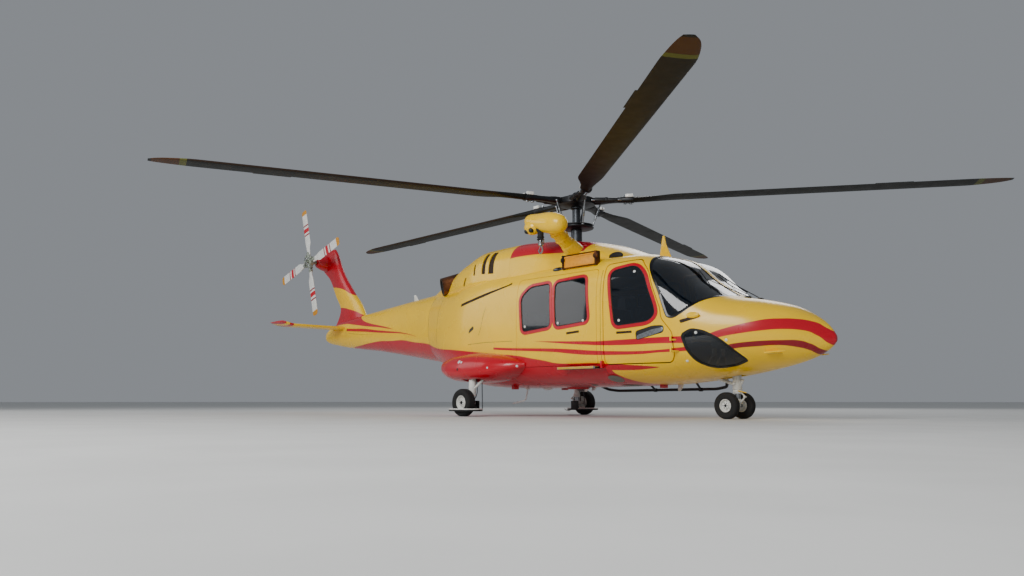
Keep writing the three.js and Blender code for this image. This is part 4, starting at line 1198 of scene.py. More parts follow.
def window_list(side):
    """Each window's outline, corner radius, nearest y, body and node, on one side."""
    name = "left" if side > 0 else "right"
    return [
        (COCKPIT_WINDOW, COCKPIT_WINDOW_RADIUS, NEAR, f"cockpit_door_{name}", f"cockpit_door_window_{name}"),
        (CABIN_WINDOWS["aft"], WINDOW_RADIUS, NEAR, "airframe", f"cabin_window_aft_{name}"),
        (CABIN_WINDOWS["fore"], WINDOW_RADIUS, NEAR, "airframe", f"cabin_window_fore_{name}"),
        (WINDSCREEN, WINDOW_RADIUS, WINDSCREEN_POST, "airframe", f"windscreen_{name}"),
        (CHIN_WINDOW, CHIN_RADIUS, CHIN_POST, "airframe", f"chin_window_{name}"),
    ]


class HELICOPTER_OT_glazing(bpy.types.Operator):
    """Window panes, their black seals and the red rings round the side windows."""
    bl_idname = "helicopter.glazing"
    bl_label = "Glazing"

    def execute(self, context):
        layer = loft("layer", HULL, 40, 160, inset=8, start=-500, end=3800)
        cut(layer, loft("inner", HULL, 40, 160, inset=14, start=-501, end=3801))
        ring_width = chosen("surround")
        ring = [(0, -3), (0, 3), (3, 6), (ring_width - 3, 6), (ring_width, 3), (ring_width, -3)]
        for _, side in SIDES:
            for outline, radius, near, body, node in window_list(side):
                pane = copied(layer, f"pane_{node}")
                cut(pane, prism("window", outline, radius, near, FAR, side, -0.5), "INTERSECT")
                finished(pane, body, "tinted_glazing", LOOKS["pane"], node)
                bare = node.startswith(("windscreen", "chin"))
                width = chosen("wide_seal" if bare else "seal")
                seal = [(-width, -8), (-width, -4), (3 - width, -2), (0.5, -2), (0.5, -8)]
                path = edge_path(outline, radius, side, near)
                look = LOOKS["edge_print" if bare else "rubber"]
                finished(trim(f"seal_{node}", HULL, path, seal), body, "black_moulded_plastic", look)
                if not bare:
                    surround = trim(f"surround_{node}", HULL, path, ring)
                    finished(surround, body, "red_painted_composite", LOOKS["crimson"])
        bpy.data.objects.remove(layer)
        return {"FINISHED"}


# White push-out studs on the windows and round the nose: x, z, and the body on the cockpit doors
STUDS = (
    (-130, 1460, None), (620, 1470, None), (1150, 1475, None),
    (1850, 1430, "door"), (2090, 2140, "door"),
    (3058, 1190, None), (3440, 1075, None), (2855, 807, None),
)
# Lamps on a sponson: x, distance from the centre plane, z and radius
SPONSON_LAMPS = ((-241, 1194, 820, 22), (-693, 1446, 800, 18), (-1420, 1470, 925, 34), (-1345, 1475, 915, 24))


class HELICOPTER_OT_studs(bpy.types.Operator):
    """White push-out studs on the windows, and small lamps on the sponsons."""
    bl_idname = "helicopter.studs"
    bl_label = "Studs and lamps"

    def execute(self, context):
        for name, side in SIDES:
            for place in (None, "door"):
                pieces = []
                for x, z, body in STUDS:
                    if body == place:
                        centre, normal = onto(HULL, *beside(HULL, x, z, side))
                        pieces.append(self.stud(centre, normal, 22))
                body = f"cockpit_door_{name}" if place else "airframe"
                studs = joined(f"studs_{place or 'hull'}_{name}", pieces)
                finished(studs, body, "white_gear_paint", LOOKS["white"])
            lamps = []
            for x, y, z, size in SPONSON_LAMPS:
                centre, normal = onto(SPONSON, x, side * y, z, middle=side * SPONSON_Y)
                lamps.append(self.stud(centre, normal, size))
            finished(joined(f"lamps_sponson_{name}", lamps), "airframe", "tinted_glazing", LOOKS["lamp"])
            # A black dome stands for a small hole in the sponson: painted shade
            centre, normal = onto(SPONSON, -1424, side * 1482, 791, middle=side * SPONSON_Y)
            cap = named(self.stud(centre, normal, 24), f"cap_sponson_{name}")
            finished(cap, "airframe", "black_moulded_plastic", LOOKS["plastic"])
        return {"FINISHED"}

    def stud(self, centre, normal, radius):
        """A low dome on the skin."""
        obj = ball("stud", (0, 0, 0), (radius, radius, radius * 0.45), 16)
        return stood(obj, centre - normal * 2, normal)


# Cabin

BULKHEAD_X = -1550
FLOOR_TOP = 760


def room(name):
    """The cabin's space, just clear of the wall."""
    return loft(name, HULL, 80, 96, inset=WALL + 1, start=-3400, end=4480)


class HELICOPTER_OT_cabin(bpy.types.Operator):
    """Floor, rear bulkhead, instrument panel with its screens, and the pilots' sticks."""
    bl_idname = "helicopter.cabin"
    bl_label = "Cabin"

    def execute(self, context):
        floor = room("floor_cabin")
        cut(floor, box("slab", BULKHEAD_X, 3050, -1200, 1200, FLOOR_TOP - 60, FLOOR_TOP), "INTERSECT")
        finished(floor, "airframe", "dark_interior", LOOKS["floor"], "cabin_floor")
        bulkhead = room("lining_bulkhead")
        cut(bulkhead, box("slab", BULKHEAD_X - 40, BULKHEAD_X - 1, -1200, 1200, 400, 2500), "INTERSECT")
        finished(bulkhead, "airframe", "pale_trim", LOOKS["trim"], "rear_bulkhead")
        panel = box("panel_instruments", 2800, 3060, -580, 580, 1130, 1470, 12)
        cut(panel, box("pedestal", 2780, 3000, -130, 130, FLOOR_TOP + 1, 1180, 10), "UNION")
        cut(panel, box("console", 2350, 2800, -130, 130, FLOOR_TOP + 1, 1060, 14), "UNION")
        cut(panel, box("shield", 2720, 3060, -590, 590, 1465, 1490, 8), "UNION")
        cut(panel, room("room"), "INTERSECT")
        finished(panel, "airframe", "dark_interior", LOOKS["plastic"], "instrument_panel")
        screens = [box("screen", 2794, 2801, y - 105, y + 105, 1230, 1430, 4) for y in (-440, -190, 190, 440)]
        screens += [box("screen", x, x + 120, -90, 90, 1056, 1066, 4) for x in (2400, 2550)]
        finished(joined("screens_panel", screens), "airframe", "tinted_glazing", LOOKS["screen"])
        for name, side in SIDES:
            y = side * 480
            stick = tube("stick", [(2430, y, 761), (2440, y, 900), (2400, y, 1010), (2390, y, 1090)], 13)
            grip = rod("stick", (2392, y, 1060), (2372, y, 1170), 20, 16, bevel=6)
            lever = tube("stick", [(1900, y - 290, 830), (2100, y - 290, 900), (2280, y - 290, 1010)], 14)
            finished(
                joined(f"stick_{name}", [stick, grip, lever]), "airframe", "dark_interior",
                LOOKS["plastic"],
            )
            pedals = []
            for dy in (-105, 105):
                pedals.append(rod("pedal", (3020, y + dy, 780), (3120, y + dy, 930), 14, bevel=2))
                pedals.append(box("pedal", 3112, 3132, y + dy - 45, y + dy + 45, 880, 985, 6))
            finished(joined(f"pedals_{name}", pedals), "airframe", "white_gear_paint", LOOKS["white"])
        return {"FINISHED"}


def cushion(name, length, width, height, channels):
    """A padded block about the origin, its length along X, blown up as cloth and sewn across."""
    fresh()
    bpy.ops.mesh.primitive_cube_add(size=1)
    obj = named(bpy.context.object, name)
    slack = 14
    obj.scale = [(value - slack) * MM for value in (length, width, height)]
    settled(obj)
    edit_all(obj)
    bpy.ops.mesh.bevel(offset=min(height, width) * 0.28 * MM, segments=4, profile=0.5)
    bpy.ops.object.mode_set(mode="OBJECT")
    modified(obj, "REMESH", mode="VOXEL", voxel_size=16 * MM)
    pick(obj)
    cloth = obj.modifiers.new("Cloth", "CLOTH")
    cloth.settings.use_pressure = True
    cloth.settings.uniform_pressure_force = 4
    cloth.settings.effector_weights.gravity = 0
    start = [v.co.copy() for v in obj.data.vertices]
    for frame_number in range(1, 21):
        bpy.context.scene.frame_set(frame_number)
    bpy.ops.object.modifier_apply(modifier=cloth.name)
    bpy.context.scene.frame_set(1)
    for vertex, old in zip(obj.data.vertices, start):
        move = vertex.co - old
        if move.length > slack * MM:
            vertex.co = old + move.normalized() * slack * MM
    modified(obj, "SUBSURF", levels=1, render_levels=1)
    for vertex in obj.data.vertices:
        along = vertex.co.x / MM
        for place in channels:
            vertex.co.z *= 1 - 0.14 * math.exp(-((along - place) / 9) ** 2)
    return obj


class HELICOPTER_OT_seats(bpy.types.Operator):
    """Pilots' seats and two benches, each with padded pans, backs and head rests on a moulded shell."""
    bl_idname = "helicopter.seats"
    bl_label = "Seats"

    def execute(self, context):
        pan = cushion("pan", 470, 440, 130, (-80, 80))
        back = cushion("back", 640, 440, 125, (-160, 0, 160))
        head = cushion("head", 210, 250, 90, ())
        for name, side in SIDES:
            self.seat(f"pilot_{name}", 2050, [side * 480], 480, 1, (pan, back, head), f"pilot_seat_{name}")
        places = [-690, -230, 230, 690]
        for name, x, facing in (("aft", -1150, 1), ("fore", 1150, -1)):
            self.seat(f"bench_{name}", x, places, 440, facing, (pan, back, head), f"cabin_seats_{name}")
        for obj in (pan, back, head):
            bpy.data.objects.remove(obj)
        return {"FINISHED"}

    def seat(self, name, x, places, deep, facing, pads, node):
        pan, back, head = pads
        base = FLOOR_TOP + 1
        back_x = x - facing * deep / 2
        shell = []
        for y in places:
            shell.append(box("shell", x - deep / 3, x + deep / 3, y - 140, y + 140, base, base + 250, 20))
            shell.append(
                box("shell", x - deep / 2, x + deep / 2, y - 228, y + 228, base + 248, base + 278, 12)
            )
            behind = back_x - facing * 66
            shell.append(box("shell", min(behind, behind + facing * 26), max(behind, behind + facing * 26),
                             y - 225, y + 225, base + 262, base + 900, 12))
            upright = Matrix.Rotation(-math.pi / 2, 4, "Y")
            flat = Matrix.Diagonal((deep / 480, 1, 1, 1))
            for pad, place, turn, fill in (
                (pan, (x + facing * 15, y, base + 335), flat, 0.7),
                (back, (back_x + facing * 16, y, base + 600), upright, 0.6),
                (head, (back_x + facing * 8, y, base + 1015), upright, 0.6),
            ):
                piece = copied(pad, f"pad_{pad.name}_{name}_{places.index(y) + 1}")
                piece.data.transform(Matrix.Translation(at(*place)) @ turn)
                finished(piece, "airframe", "seat_cloth", LOOKS["cloth"], node, angle=80)
        finished(joined(f"shell_{name}", shell), "airframe", "dark_interior", LOOKS["plastic"], node)


# Roof

class HELICOPTER_OT_roof(bpy.types.Operator):
    """Mast fairing, engine cowling with its louvred slots, roof boxes and the power plant inside."""
    bl_idname = "helicopter.roof"
    bl_label = "Roof"

    def execute(self, context):
        fairing = loft("skin_mast_fairing", COWL, 40, 128, start=COWL_SPLIT + chosen("seam") / 2)
        cut(fairing, loft("space", COWL, 60, 96, inset=25, start=COWL_SPLIT - 5, end=1500))
        cut(fairing, rod("hole", (0, 0, 2700), (0, 0, 3200), 145, sides=64))
        cut(fairing, loft("hull", HULL, 50, 160, inset=1))
        finished(fairing, "airframe", "red_painted_composite", LOOKS["fairing"], "mast_fairing")
        cowl = loft("skin_engine_cowling", COWL, 40, 128, end=COWL_SPLIT - chosen("seam") / 2)
        cut(cowl, loft("space", COWL, 60, 96, inset=25, start=-3250, end=COWL_SPLIT + 5))
        cut(cowl, loft("hull", HULL, 50, 160, inset=1))
        cut(cowl, loft("boom", BOOM, 80, 96, inset=1))
        for name, side in SIDES:
            cut(cowl, exhaust_room(side))
            for i, outline in enumerate(LOUVRES):
                # Each louvre's floor is dark brown painted shade
                sunk(cowl, f"louvre_{name}_{i + 1}", COWL, outline, 20, side, LOUVRE_DEPTH)
        finished(cowl, "airframe", "yellow_painted_composite", LOOKS["yellow"], "engine_cowling")
        gear = copied(bpy.data.objects["engines_and_gearbox"], "block_engines_and_gearbox")
        finished(gear, "airframe", "machined_steel", LOOKS["cast"], "engines_and_gearbox")
        rail = box("box_door_rail", 640, 1290, -1000, -880, 2350, 2540, 12)
        cut(rail, box("face", 665, 1265, -1010, -988, 2375, 2515, 8))
        cut(rail, loft("hull", HULL, 50, 160, inset=-1))
        finished(rail, "airframe", "yellow_painted_composite", LOOKS["amber"])
        # The two long rods along the box's top and bottom edges are painted shadow lines; the end blocks and
        # rings are its brackets
        edges = [rod("edge", (600, -1004, z), (1330, -1004, z), 9, bevel=2) for z in (2345, 2545)]
        for x in (606, 1296):
            edges.append(box("edge", x, x + 30, -1015, -900, 2330, 2560, 10))
            edges.append(rod("edge", (x + 15, -1018, 2480), (x + 15, -985, 2480), 42, bevel=6))
        finished(joined("brackets_door_rail", edges), "airframe", "heat_stained_steel", LOOKS["burnt"])
        lamp = ball("lamp_roof", onto(HULL, 470, -930, 2330)[0], (120, 40, 40), 32)
        finished(lamp, "airframe", "black_moulded_plastic", LOOKS["screen"])
        # A black ellipsoid stands for the mouth of an intake on the roof: painted shade
        intake = ball("intake_roof", (1420, -640, 2500), (140, 40, 60), 32)
        finished(intake, "airframe", "black_moulded_plastic", LOOKS["rubber"])
        return {"FINISHED"}


class HELICOPTER_OT_exhausts(bpy.types.Operator):
    """Exhaust pipes with rolled rims and sooty bores."""
    bl_idname = "helicopter.exhausts"
    bl_label = "Exhausts"

    def execute(self, context):
        pipe_profile = [
            (140, -560), (166, -560), (170, -60), (170, 0), (158, 0), (154, -60), (154, -520), (140, -540),
        ]
        bore_profile = [
            (0, -500), (40, -495), (60, -470), (140, -465), (150, -450), (150, -2), (153.5, -2),
            (153.5, -520), (0, -525),
        ]
        for name, side in SIDES:
            mouth, axis = exhaust_line(side)
            pipe = turned(f"pipe_exhaust_{name}", pipe_profile, mouth, axis, 64)
            cut(pipe, self.scarf(side, mouth, axis))
            finished(pipe, "airframe", "heat_stained_steel", LOOKS["burnt"], f"exhaust_{name}")
            bore = turned(f"bore_exhaust_{name}", bore_profile, mouth, axis, 64)
            cut(bore, self.scarf(side, mouth, axis))
            finished(bore, "airframe", "heat_stained_steel", LOOKS["soot"])
        return {"FINISHED"}

    def scarf(self, side, mouth, axis):
        """A block that takes away the outboard side of a pipe's mouth."""
        face = Vector((-0.5, side * 0.78, -0.2)).normalized()
        across = (face - axis * face.dot(axis)).normalized()
        place = mouth - across * 160 + face * 500
        return stood(box("scarf", -500, 500, -500, 500, -500, 500), place, face, "X", "Z")


# Tail

def fin_section(z):
    """The fin's section at a height."""
    row = row_at(FIN, z)
    return lambda u, half: at(row[1] + u * (row[2] - row[1]), half * row[3], z)


class HELICOPTER_OT_tail(bpy.types.Operator):
    """Tail boom, fin, gearbox fairing and stabilisers."""
    bl_idname = "helicopter.tail"
    bl_label = "Tail"

    def execute(self, context):
        boom = loft("skin_tail_boom", BOOM, 60, 128)
        finished(boom, "airframe", "yellow_painted_composite", LOOKS["boom"], "tail_boom")
        heights = [2000 + 50 * i for i in range(38)] + [3875, 3890, 3900]
        fin = wing("skin_tail_fin", [fin_section(z) for z in heights])
        finished(fin, "airframe", "red_painted_composite", LOOKS["fin"], "tail_fin")
        pod = turned("skin_tail_gearbox_fairing", [
            (0, -330), (40, -329), (70, -325), (95, -305), (115, -280), (142, -220), (165, -160), (183, -80),
            (190, 0), (189, 60), (180, 130), (155, 195), (120, 250), (60, 300), (0, 310),
        ], (-8280, 0, 3580), (0, 1, 0), 64)
        cut(pod, box("half", -9000, -7700, -400, 60, 3000, 4200), "INTERSECT")
        finished(pod, "airframe", "red_painted_composite", LOOKS["crimson"], "tail_gearbox_fairing")
        ends = [
            (120, 0, 0), (1450, 10, 0), (1530, 18, 0), (1600, 28, 0), (1660, 42, 0.03), (1705, 60, 0.12),
            (1735, 85, 0.3), (1750, 110, 0.6),
        ]
        for name, side in SIDES:
            half_wing = wing(f"skin_stabiliser_{name}", [self.stabiliser(side, *end) for end in ends])
            finished(
                half_wing, "airframe", "yellow_painted_composite", LOOKS["stabiliser"],
                f"stabiliser_{name}",
            )
        lamp = ball("lamp_fin", (-8150, 0, 3895), (70, 22, 14), 24)
        finished(lamp, "airframe", "tinted_glazing", LOOKS["lamp"])
        return {"FINISHED"}

    def stabiliser(self, side, y, sweep, thin):
        chord = 700 - sweep * 1.2
        height = 1930 + 70 * (max(0, y - 1450) / 300) ** 1.7
        return lambda u, half: at(-7050 - sweep - u * chord, side * y, height - half * 75 * (1 - thin))


class HELICOPTER_OT_sponsons(bpy.types.Operator):
    """Sponsons, with a wheel well under each whose roof is a black sheet of painted shade."""
    bl_idname = "helicopter.sponsons"
    bl_label = "Sponsons"

    def execute(self, context):
        for name, side in SIDES:
            body = loft(f"skin_sponson_{name}", SPONSON, 30, 96, middle=side * SPONSON_Y)
            y = side * 1310
            cut(body, box("well", -1420, -960, y - 85, y + 85, 500, 640, 20))
            finished(body, "airframe", "red_painted_composite", LOOKS["crimson"], f"sponson_{name}")
            # A black sheet over the well's roof: painted shade inside the well
            liner = box(f"well_main_gear_{name}", -1421, -959, y - 86, y + 86, 638, 645)
            finished(liner, "airframe", "black_moulded_plastic", LOOKS["plastic"])
        return {"FINISHED"}


# Undercarriage

MAIN_X = -1230
MAIN_Y = 1500
LEG_Y = 1310
MAIN_R = 230
SNOW_PAD_LOW = 88
SNOW_PAD_HIGH = 122
NOSE_X = 3100
NOSE_TRAIL = 50
NOSE_R = 190
NOSE_SPREAD = 205
NOSE_JOIN = 420


def tyre(name, centre, side, radius, rim, half):
    """A lathed tyre: bulged walls, rounded shoulders and three grooves round the tread."""
    wall = [
        (rim, -0.72 * half), (rim + 5, -0.8 * half), (rim + 14, -0.84 * half), ((rim + radius) / 2, -half),
        (radius - 24, -0.95 * half), (radius - 12, -0.84 * half), (radius - 4, -0.66 * half),
        (radius, -0.5 * half),
    ]
    tread = []
    for groove in (-0.32 * half, 0, 0.32 * half):
        tread += [
            (radius, groove - 4), (radius - 5, groove - 2.5), (radius - 5, groove + 2.5),
            (radius, groove + 4),
        ]
    return turned(name, wall + tread + [(r, -h) for r, h in reversed(wall)], centre, (0, side, 0), 64)


def rim(name, centre, side, radius, half, bore):
    """A dished wheel with a raised hub, and eight lightening holes round its disc."""
    profile_points = [
        (bore, -0.8 * half), (0.42 * radius, -0.8 * half), (0.5 * radius, -0.5 * half),
        (0.8 * radius, -0.3 * half), (0.88 * radius, -0.9 * half), (radius, -half), (radius, half),
        (0.94 * radius, half), (0.88 * radius, 0.7 * half), (0.8 * radius, 0.15 * half),
        (0.56 * radius, 0.2 * half), (0.48 * radius, 0.75 * half), (0.3 * radius, 0.85 * half),
        (bore, 0.85 * half),
    ]
    wheel = turned(name, profile_points, centre, (0, side, 0), 64)
    x, y, z = centre
    for i in range(8):
        angle = math.pi * i / 4
        place = (x + 0.68 * radius * math.cos(angle), z + 0.68 * radius * math.sin(angle))
        hole = rod(
            "hole", (place[0], y - 2 * half, place[1]), (place[0], y + 2 * half, place[1]), 0.09 * radius,
            sides=16,
        )
        cut(wheel, hole)
    return wheel


def bolts(name, centre, side, circle, count, face):
    """A circle of hexagon bolt heads on a wheel's hub, and its cap."""
    x, y, z = centre
    pieces = [
        rod("cap", (x, y + side * face, z), (x, y + side * (face + 10), z), circle * 0.62, circle * 0.5,
            bevel=2),
    ]
    for i in range(count):
        angle = 2 * math.pi * i / count
        bx, bz = x + circle * math.cos(angle), z + circle * math.sin(angle)
        pieces.append(rod(
            "bolt", (bx, y + side * (face - 2), bz), (bx, y + side * (face + 7), bz), 6, sides=6, bevel=1,
        ))
    return joined(name, pieces)


def torque_link(x, y, high, low, reach, half):
    """Two arms that meet at a pin behind or before a leg, on lugs above and below."""
    joint = (high + low) / 2
    pieces = [
        rod("link", (x, y, high), (x + reach, y, joint + 4), half * 0.55, half * 0.42, bevel=2),
        rod("link", (x, y, low), (x + reach, y, joint - 4), half * 0.55, half * 0.42, bevel=2),
    ]
    for px, pz in ((x, high), (x + reach, joint), (x, low)):
        pieces.append(rod("pin", (px, y - half, pz), (px, y + half, pz), half * 0.6, bevel=2))
    return pieces


class HELICOPTER_OT_main_gear(bpy.types.Operator):
    """Main legs, wheels, tyres and the snow pads round them."""
    bl_idname = "helicopter.main_gear"
    bl_label = "Main gear"

    def execute(self, context):
        for name, side in SIDES:
            self.leg(name, side)
            self.wheel(name, side)
            self.snow_pad(name, side)
        return {"FINISHED"}

    def leg(self, name, side):
        y = side * LEG_Y
        node = f"main_leg_{name}"
        parts = [
            rod("leg", (MAIN_X, y, 350), (MAIN_X, y, 680), 60, bevel=6),
            rod("leg", (MAIN_X, y, 335), (MAIN_X, y, 362), 68, bevel=6),
            rod("leg", (MAIN_X, y, 480), (MAIN_X, y, 500), 66, bevel=5),
            rod("leg", (MAIN_X, y, 205), (MAIN_X, y, 268), 58, 50, bevel=8),
            rod("leg", (MAIN_X, y, MAIN_R), (MAIN_X, side * 1440, MAIN_R), 40, 36, bevel=4),
            *torque_link(MAIN_X - 66, y, 378, 240, -70, 26),
            rod("leg", (MAIN_X + 60, y, 470), (MAIN_X + 250, y - side * 60, 640), 20, bevel=4),
        ]
        finished(joined(f"leg_main_{name}", parts), "airframe", "white_gear_paint", LOOKS["white"], node)
        piston = rod(f"piston_main_{name}", (MAIN_X, y, 240), (MAIN_X, y, 350), 43, sides=48)
        finished(piston, "airframe", "machined_steel", LOOKS["steel"], node)
        axle = rod(
            f"axle_main_{name}", (MAIN_X, side * 1400, MAIN_R), (MAIN_X, side * 1540, MAIN_R), 34, sides=48,
            bevel=3,
        )
        finished(axle, "airframe", "machined_steel", LOOKS["steel"], node)
        hose = tube(f"hose_brake_{name}", [
            (MAIN_X + 40, y - side * 50, 640), (MAIN_X + 78, y - side * 40, 480),
            (MAIN_X + 96, y - side * 20, 380), (MAIN_X + 70, y + side * 10, 290),
            (MAIN_X + 44, y + side * 36, 262),
        ], 7)
        finished(hose, "airframe", "black_moulded_plastic", LOOKS["rubber"])
        stay = rod(
            f"stay_snow_pad_{name}", (MAIN_X + 230, y - side * 30, 130), (MAIN_X + 180, y - side * 60, 610),
            8,
        )
        finished(stay, "airframe", "machined_steel", LOOKS["cast"])

    def wheel(self, name, side):
        centre = (MAIN_X, side * MAIN_Y, MAIN_R)
        body = f"main_wheel_{name}"
        finished(rim(f"rim_main_{name}", centre, side, 118, 62, 35), body, "white_gear_paint", LOOKS["white"],
                 f"main_rim_{name}")
        hub = bolts(f"hub_main_{name}", centre, side, 46, 8, 48)
        finished(hub, body, "machined_steel", LOOKS["dark"], f"main_rim_{name}")
        piece = tyre(f"tyre_main_{name}", centre, side, MAIN_R, 118.3, 85)
        finished(piece, body, "tyre_rubber", LOOKS["tyre"], f"main_tyre_{name}")

    def snow_pad(self, name, side):
        low, high = SNOW_PAD_LOW, SNOW_PAD_HIGH
        outline = [
            (MAIN_X - 350, side * (MAIN_Y - 60)), (MAIN_X - 210, side * (MAIN_Y - 270)),
            (MAIN_X + 210, side * (MAIN_Y - 270)), (MAIN_X + 350, side * (MAIN_Y - 60)),
            (MAIN_X + 230, side * (MAIN_Y + 170)), (MAIN_X - 230, side * (MAIN_Y + 170)),
        ]
        edge = rounded(outline, 110, 10)
        board = plate("board", [at(p.x, p.y, low) for p in edge], high - low, 8)
        board.data.transform(Matrix.Translation((0, 0, low * MM - min(v.co.z for v in board.data.vertices))))
        y = side * MAIN_Y
        cut(board, box("slot", MAIN_X - 228, MAIN_X + 228, y - 105, y + 105, 0, 400, 30))
        neck = side * (LEG_Y - 61)
        strap = box(
            "strap", MAIN_X - 90, MAIN_X + 90, min(neck, neck - side * 26), max(neck, neck - side * 26),
            low + 5, 262, 6,
        )
        cut(board, strap, "UNION")
        named(board, f"board_snow_pad_{name}")
        finished(board, "airframe", "black_moulded_plastic", LOOKS["plastic"], f"snow_pad_{name}")
        studs = []
        ring = dense([(p.x, p.y) for p in edge], 60)
        middle = Vector((MAIN_X, y - side * 45))
        for spot in ring:
            spot = middle + (Vector(spot) - middle) * 0.95
            studs.append(ball("stud", (spot.x, spot.y, high + 1), (16, 16, 11), 10))
        rail = [at(*(middle + (Vector(spot) - middle) * 0.985), high) for spot in ring]
        finished(joined(f"studs_snow_pad_{name}", studs), "airframe", "white_gear_paint", LOOKS["white"])
        drain = tube(f"stay_drag_{name}", [
            (MAIN_X - 230, y - side * 120, 96), (MAIN_X - 290, y - side * 130, 76),
            (MAIN_X - 350, y - side * 140, 92), (MAIN_X - 380, y - side * 150, 110),
        ], 9)
        finished(drain, "airframe", "white_gear_paint", LOOKS["white"])
        band = tube(
            f"edge_snow_pad_{name}", [((v.x / MM) - MAST_X, v.y / MM, v.z / MM) for v in rail + rail[:1]],
            9, 8, 4,
        )
        finished(band, "airframe", "white_gear_paint", LOOKS["white"])


class HELICOPTER_OT_nose_gear(bpy.types.Operator):
    """Nose leg, its swivelling lower part, and twin wheels on one axle."""
    bl_idname = "helicopter.nose_gear"
    bl_label = "Nose gear"

    def execute(self, context):
        upper = [
            rod("leg", (NOSE_X, 0, NOSE_JOIN + 1), (NOSE_X, 0, 640), 62, bevel=4),
            rod("leg", (NOSE_X, 0, NOSE_JOIN + 1), (NOSE_X, 0, NOSE_JOIN + 26), 68, bevel=5),
            rod("leg", (NOSE_X, 0, 520), (NOSE_X, 0, 540), 67, bevel=4),
            rod("leg", (NOSE_X - 40, 0, NOSE_JOIN + 70), (NOSE_X - 400, 0, 610), 24, bevel=4),
            rod("leg", (NOSE_X - 10, -85, 500), (NOSE_X - 10, 85, 500), 22, bevel=4),
            rod("leg", (NOSE_X + 30, 0, 470), (NOSE_X + 96, 0, 560), 26, 20, bevel=4),
        ]
        finished(
            joined("leg_nose_upper", upper), "airframe", "white_gear_paint", LOOKS["white"],
            "nose_leg_upper",
        )
        axle_x = NOSE_X - NOSE_TRAIL
        lower = [
            rod("leg", (NOSE_X, 0, 360), (NOSE_X, 0, NOSE_JOIN - 1), 64, bevel=6),
            rod("leg", (NOSE_X, 0, 225), (NOSE_X, 0, 285), 50, bevel=6),
            rod("leg", (axle_x, -75, NOSE_R), (axle_x, 75, NOSE_R), 48, bevel=6),
            box("leg", axle_x - 20, NOSE_X + 30, -34, 34, NOSE_R - 10, 260, 10),
            *torque_link(NOSE_X + 52, 0, 385, 244, 66, 24),
            rod("leg", (NOSE_X - 20, -70, 392), (NOSE_X - 20, 70, 392), 16, bevel=3),
        ]
        swivel = joined("leg_nose_swivel", lower)
        finished(swivel, "nose_gear", "white_gear_paint", LOOKS["white"], "nose_leg_swivel")
        piston = rod("piston_nose", (NOSE_X, 0, 250), (NOSE_X, 0, 362), 44, sides=48)
        finished(piston, "nose_gear", "machined_steel", LOOKS["steel"], "nose_leg_swivel")
        tow = rod("pin_tow", (NOSE_X + 40, -52, 400), (NOSE_X + 190, -78, 372), 8, 6, bevel=2)
        finished(tow, "nose_gear", "yellow_painted_skin", LOOKS["yellow"])
        axle = rod(
            "axle_nose", (axle_x, -NOSE_SPREAD, NOSE_R), (axle_x, NOSE_SPREAD, NOSE_R), 28, sides=48,
            bevel=2,
        )
        finished(axle, "nose_wheels", "machined_steel", LOOKS["steel"], "nose_wheel_rims")
        for name, side in SIDES:
            centre = (axle_x, side * NOSE_SPREAD, NOSE_R)
            finished(rim(f"rim_nose_{name}", centre, side, 92, 46, 20), "nose_wheels", "white_gear_paint",
                     LOOKS["white"], "nose_wheel_rims")
            hub = bolts(f"hub_nose_{name}", centre, side, 36, 6, 37)
            finished(hub, "nose_wheels", "machined_steel", LOOKS["dark"], "nose_wheel_rims")
            piece = tyre(f"tyre_nose_{name}", centre, side, NOSE_R, 92.3, 60)
            finished(piece, "nose_wheels", "tyre_rubber", LOOKS["tyre"], f"nose_tyre_{name}")
        return {"FINISHED"}


# Rotors

HUB_Z = 3700
DAMPER_ENDS = (Vector((280, -150, HUB_Z - 10)), Vector((800, -70, HUB_Z - 10)))
BLADE_FIRST_AZIMUTH = 35
BLADE_COUNT = 5
# Blade sections: reach from the mast, chord, thickness, how far the quarter chord is swept back
MAIN_BLADE = [
    (1000.3, 170, 100, 0),
    (1250, 220, 90, 0),
    (1750, 400, 52, 0),
    (6250, 400, 44, 0),
    (6550, 340, 32, 25),
    (6780, 240, 20, 70),
    (6900, 120, 10, 125),
]
TAIL_HUB = (-8280, -500, 3580)
TAIL_FIRST_ANGLE = 17
TAIL_BLADE_COUNT = 4
TAIL_BLADE = [
    (100, 90, 60, 0),
    (330, 120, 40, 0),
    (480, 210, 30, 0),
    (1300, 210, 20, 0),
    (1350, 150, 12, 20),
]


def about(point, axis, degrees):
    """A turn about an axis through a point, in the frame's metres."""
    place = at(*point)
    turn = Matrix.Rotation(math.radians(degrees), 4, Vector(axis))
    return Matrix.Translation(place) @ turn @ Matrix.Translation(-place)


def mapped(obj, centre, across):
    """Writes a blade's UV map: u is the reach in tens of metres, v the place across its chord in metres."""
    for old in list(obj.data.uv_layers):
        obj.data.uv_layers.remove(old)
    layer = obj.data.uv_layers.new(name="reach")
    origin = at(*centre)
    for loop in obj.data.loops:
        place = obj.data.vertices[loop.vertex_index].co - origin
        layer.data[loop.index].uv = (place.x / 10, 0.5 + place[across])
    return obj


def superring(x, half_y, half_z, middle_z, power=3, around=32):
    """A ring of rounded-square section across X."""
    ring = []
    for j in range(around):
        angle = 2 * math.pi * j / around
        c, s = math.cos(angle), math.sin(angle)
        far = (abs(c) ** power + abs(s) ** power) ** (1 / power)
        ring.append(at(x, half_y * c / far, middle_z + half_z * s / far))
    return ring


def turned_set(name, pieces, count, axis, centre, first, body, slot, look, node):
    """Joins a set modelled on +X, and copies it round an axis."""
    single = joined("single", pieces)
    copies = []
    for i in range(count):
        twin = copied(single, "twin")
        twin.data.transform(about(centre, axis, first + 360 / count * i))
        copies.append(twin)
    bpy.data.objects.remove(single)
    return finished(joined(name, copies), body, slot, look, node)


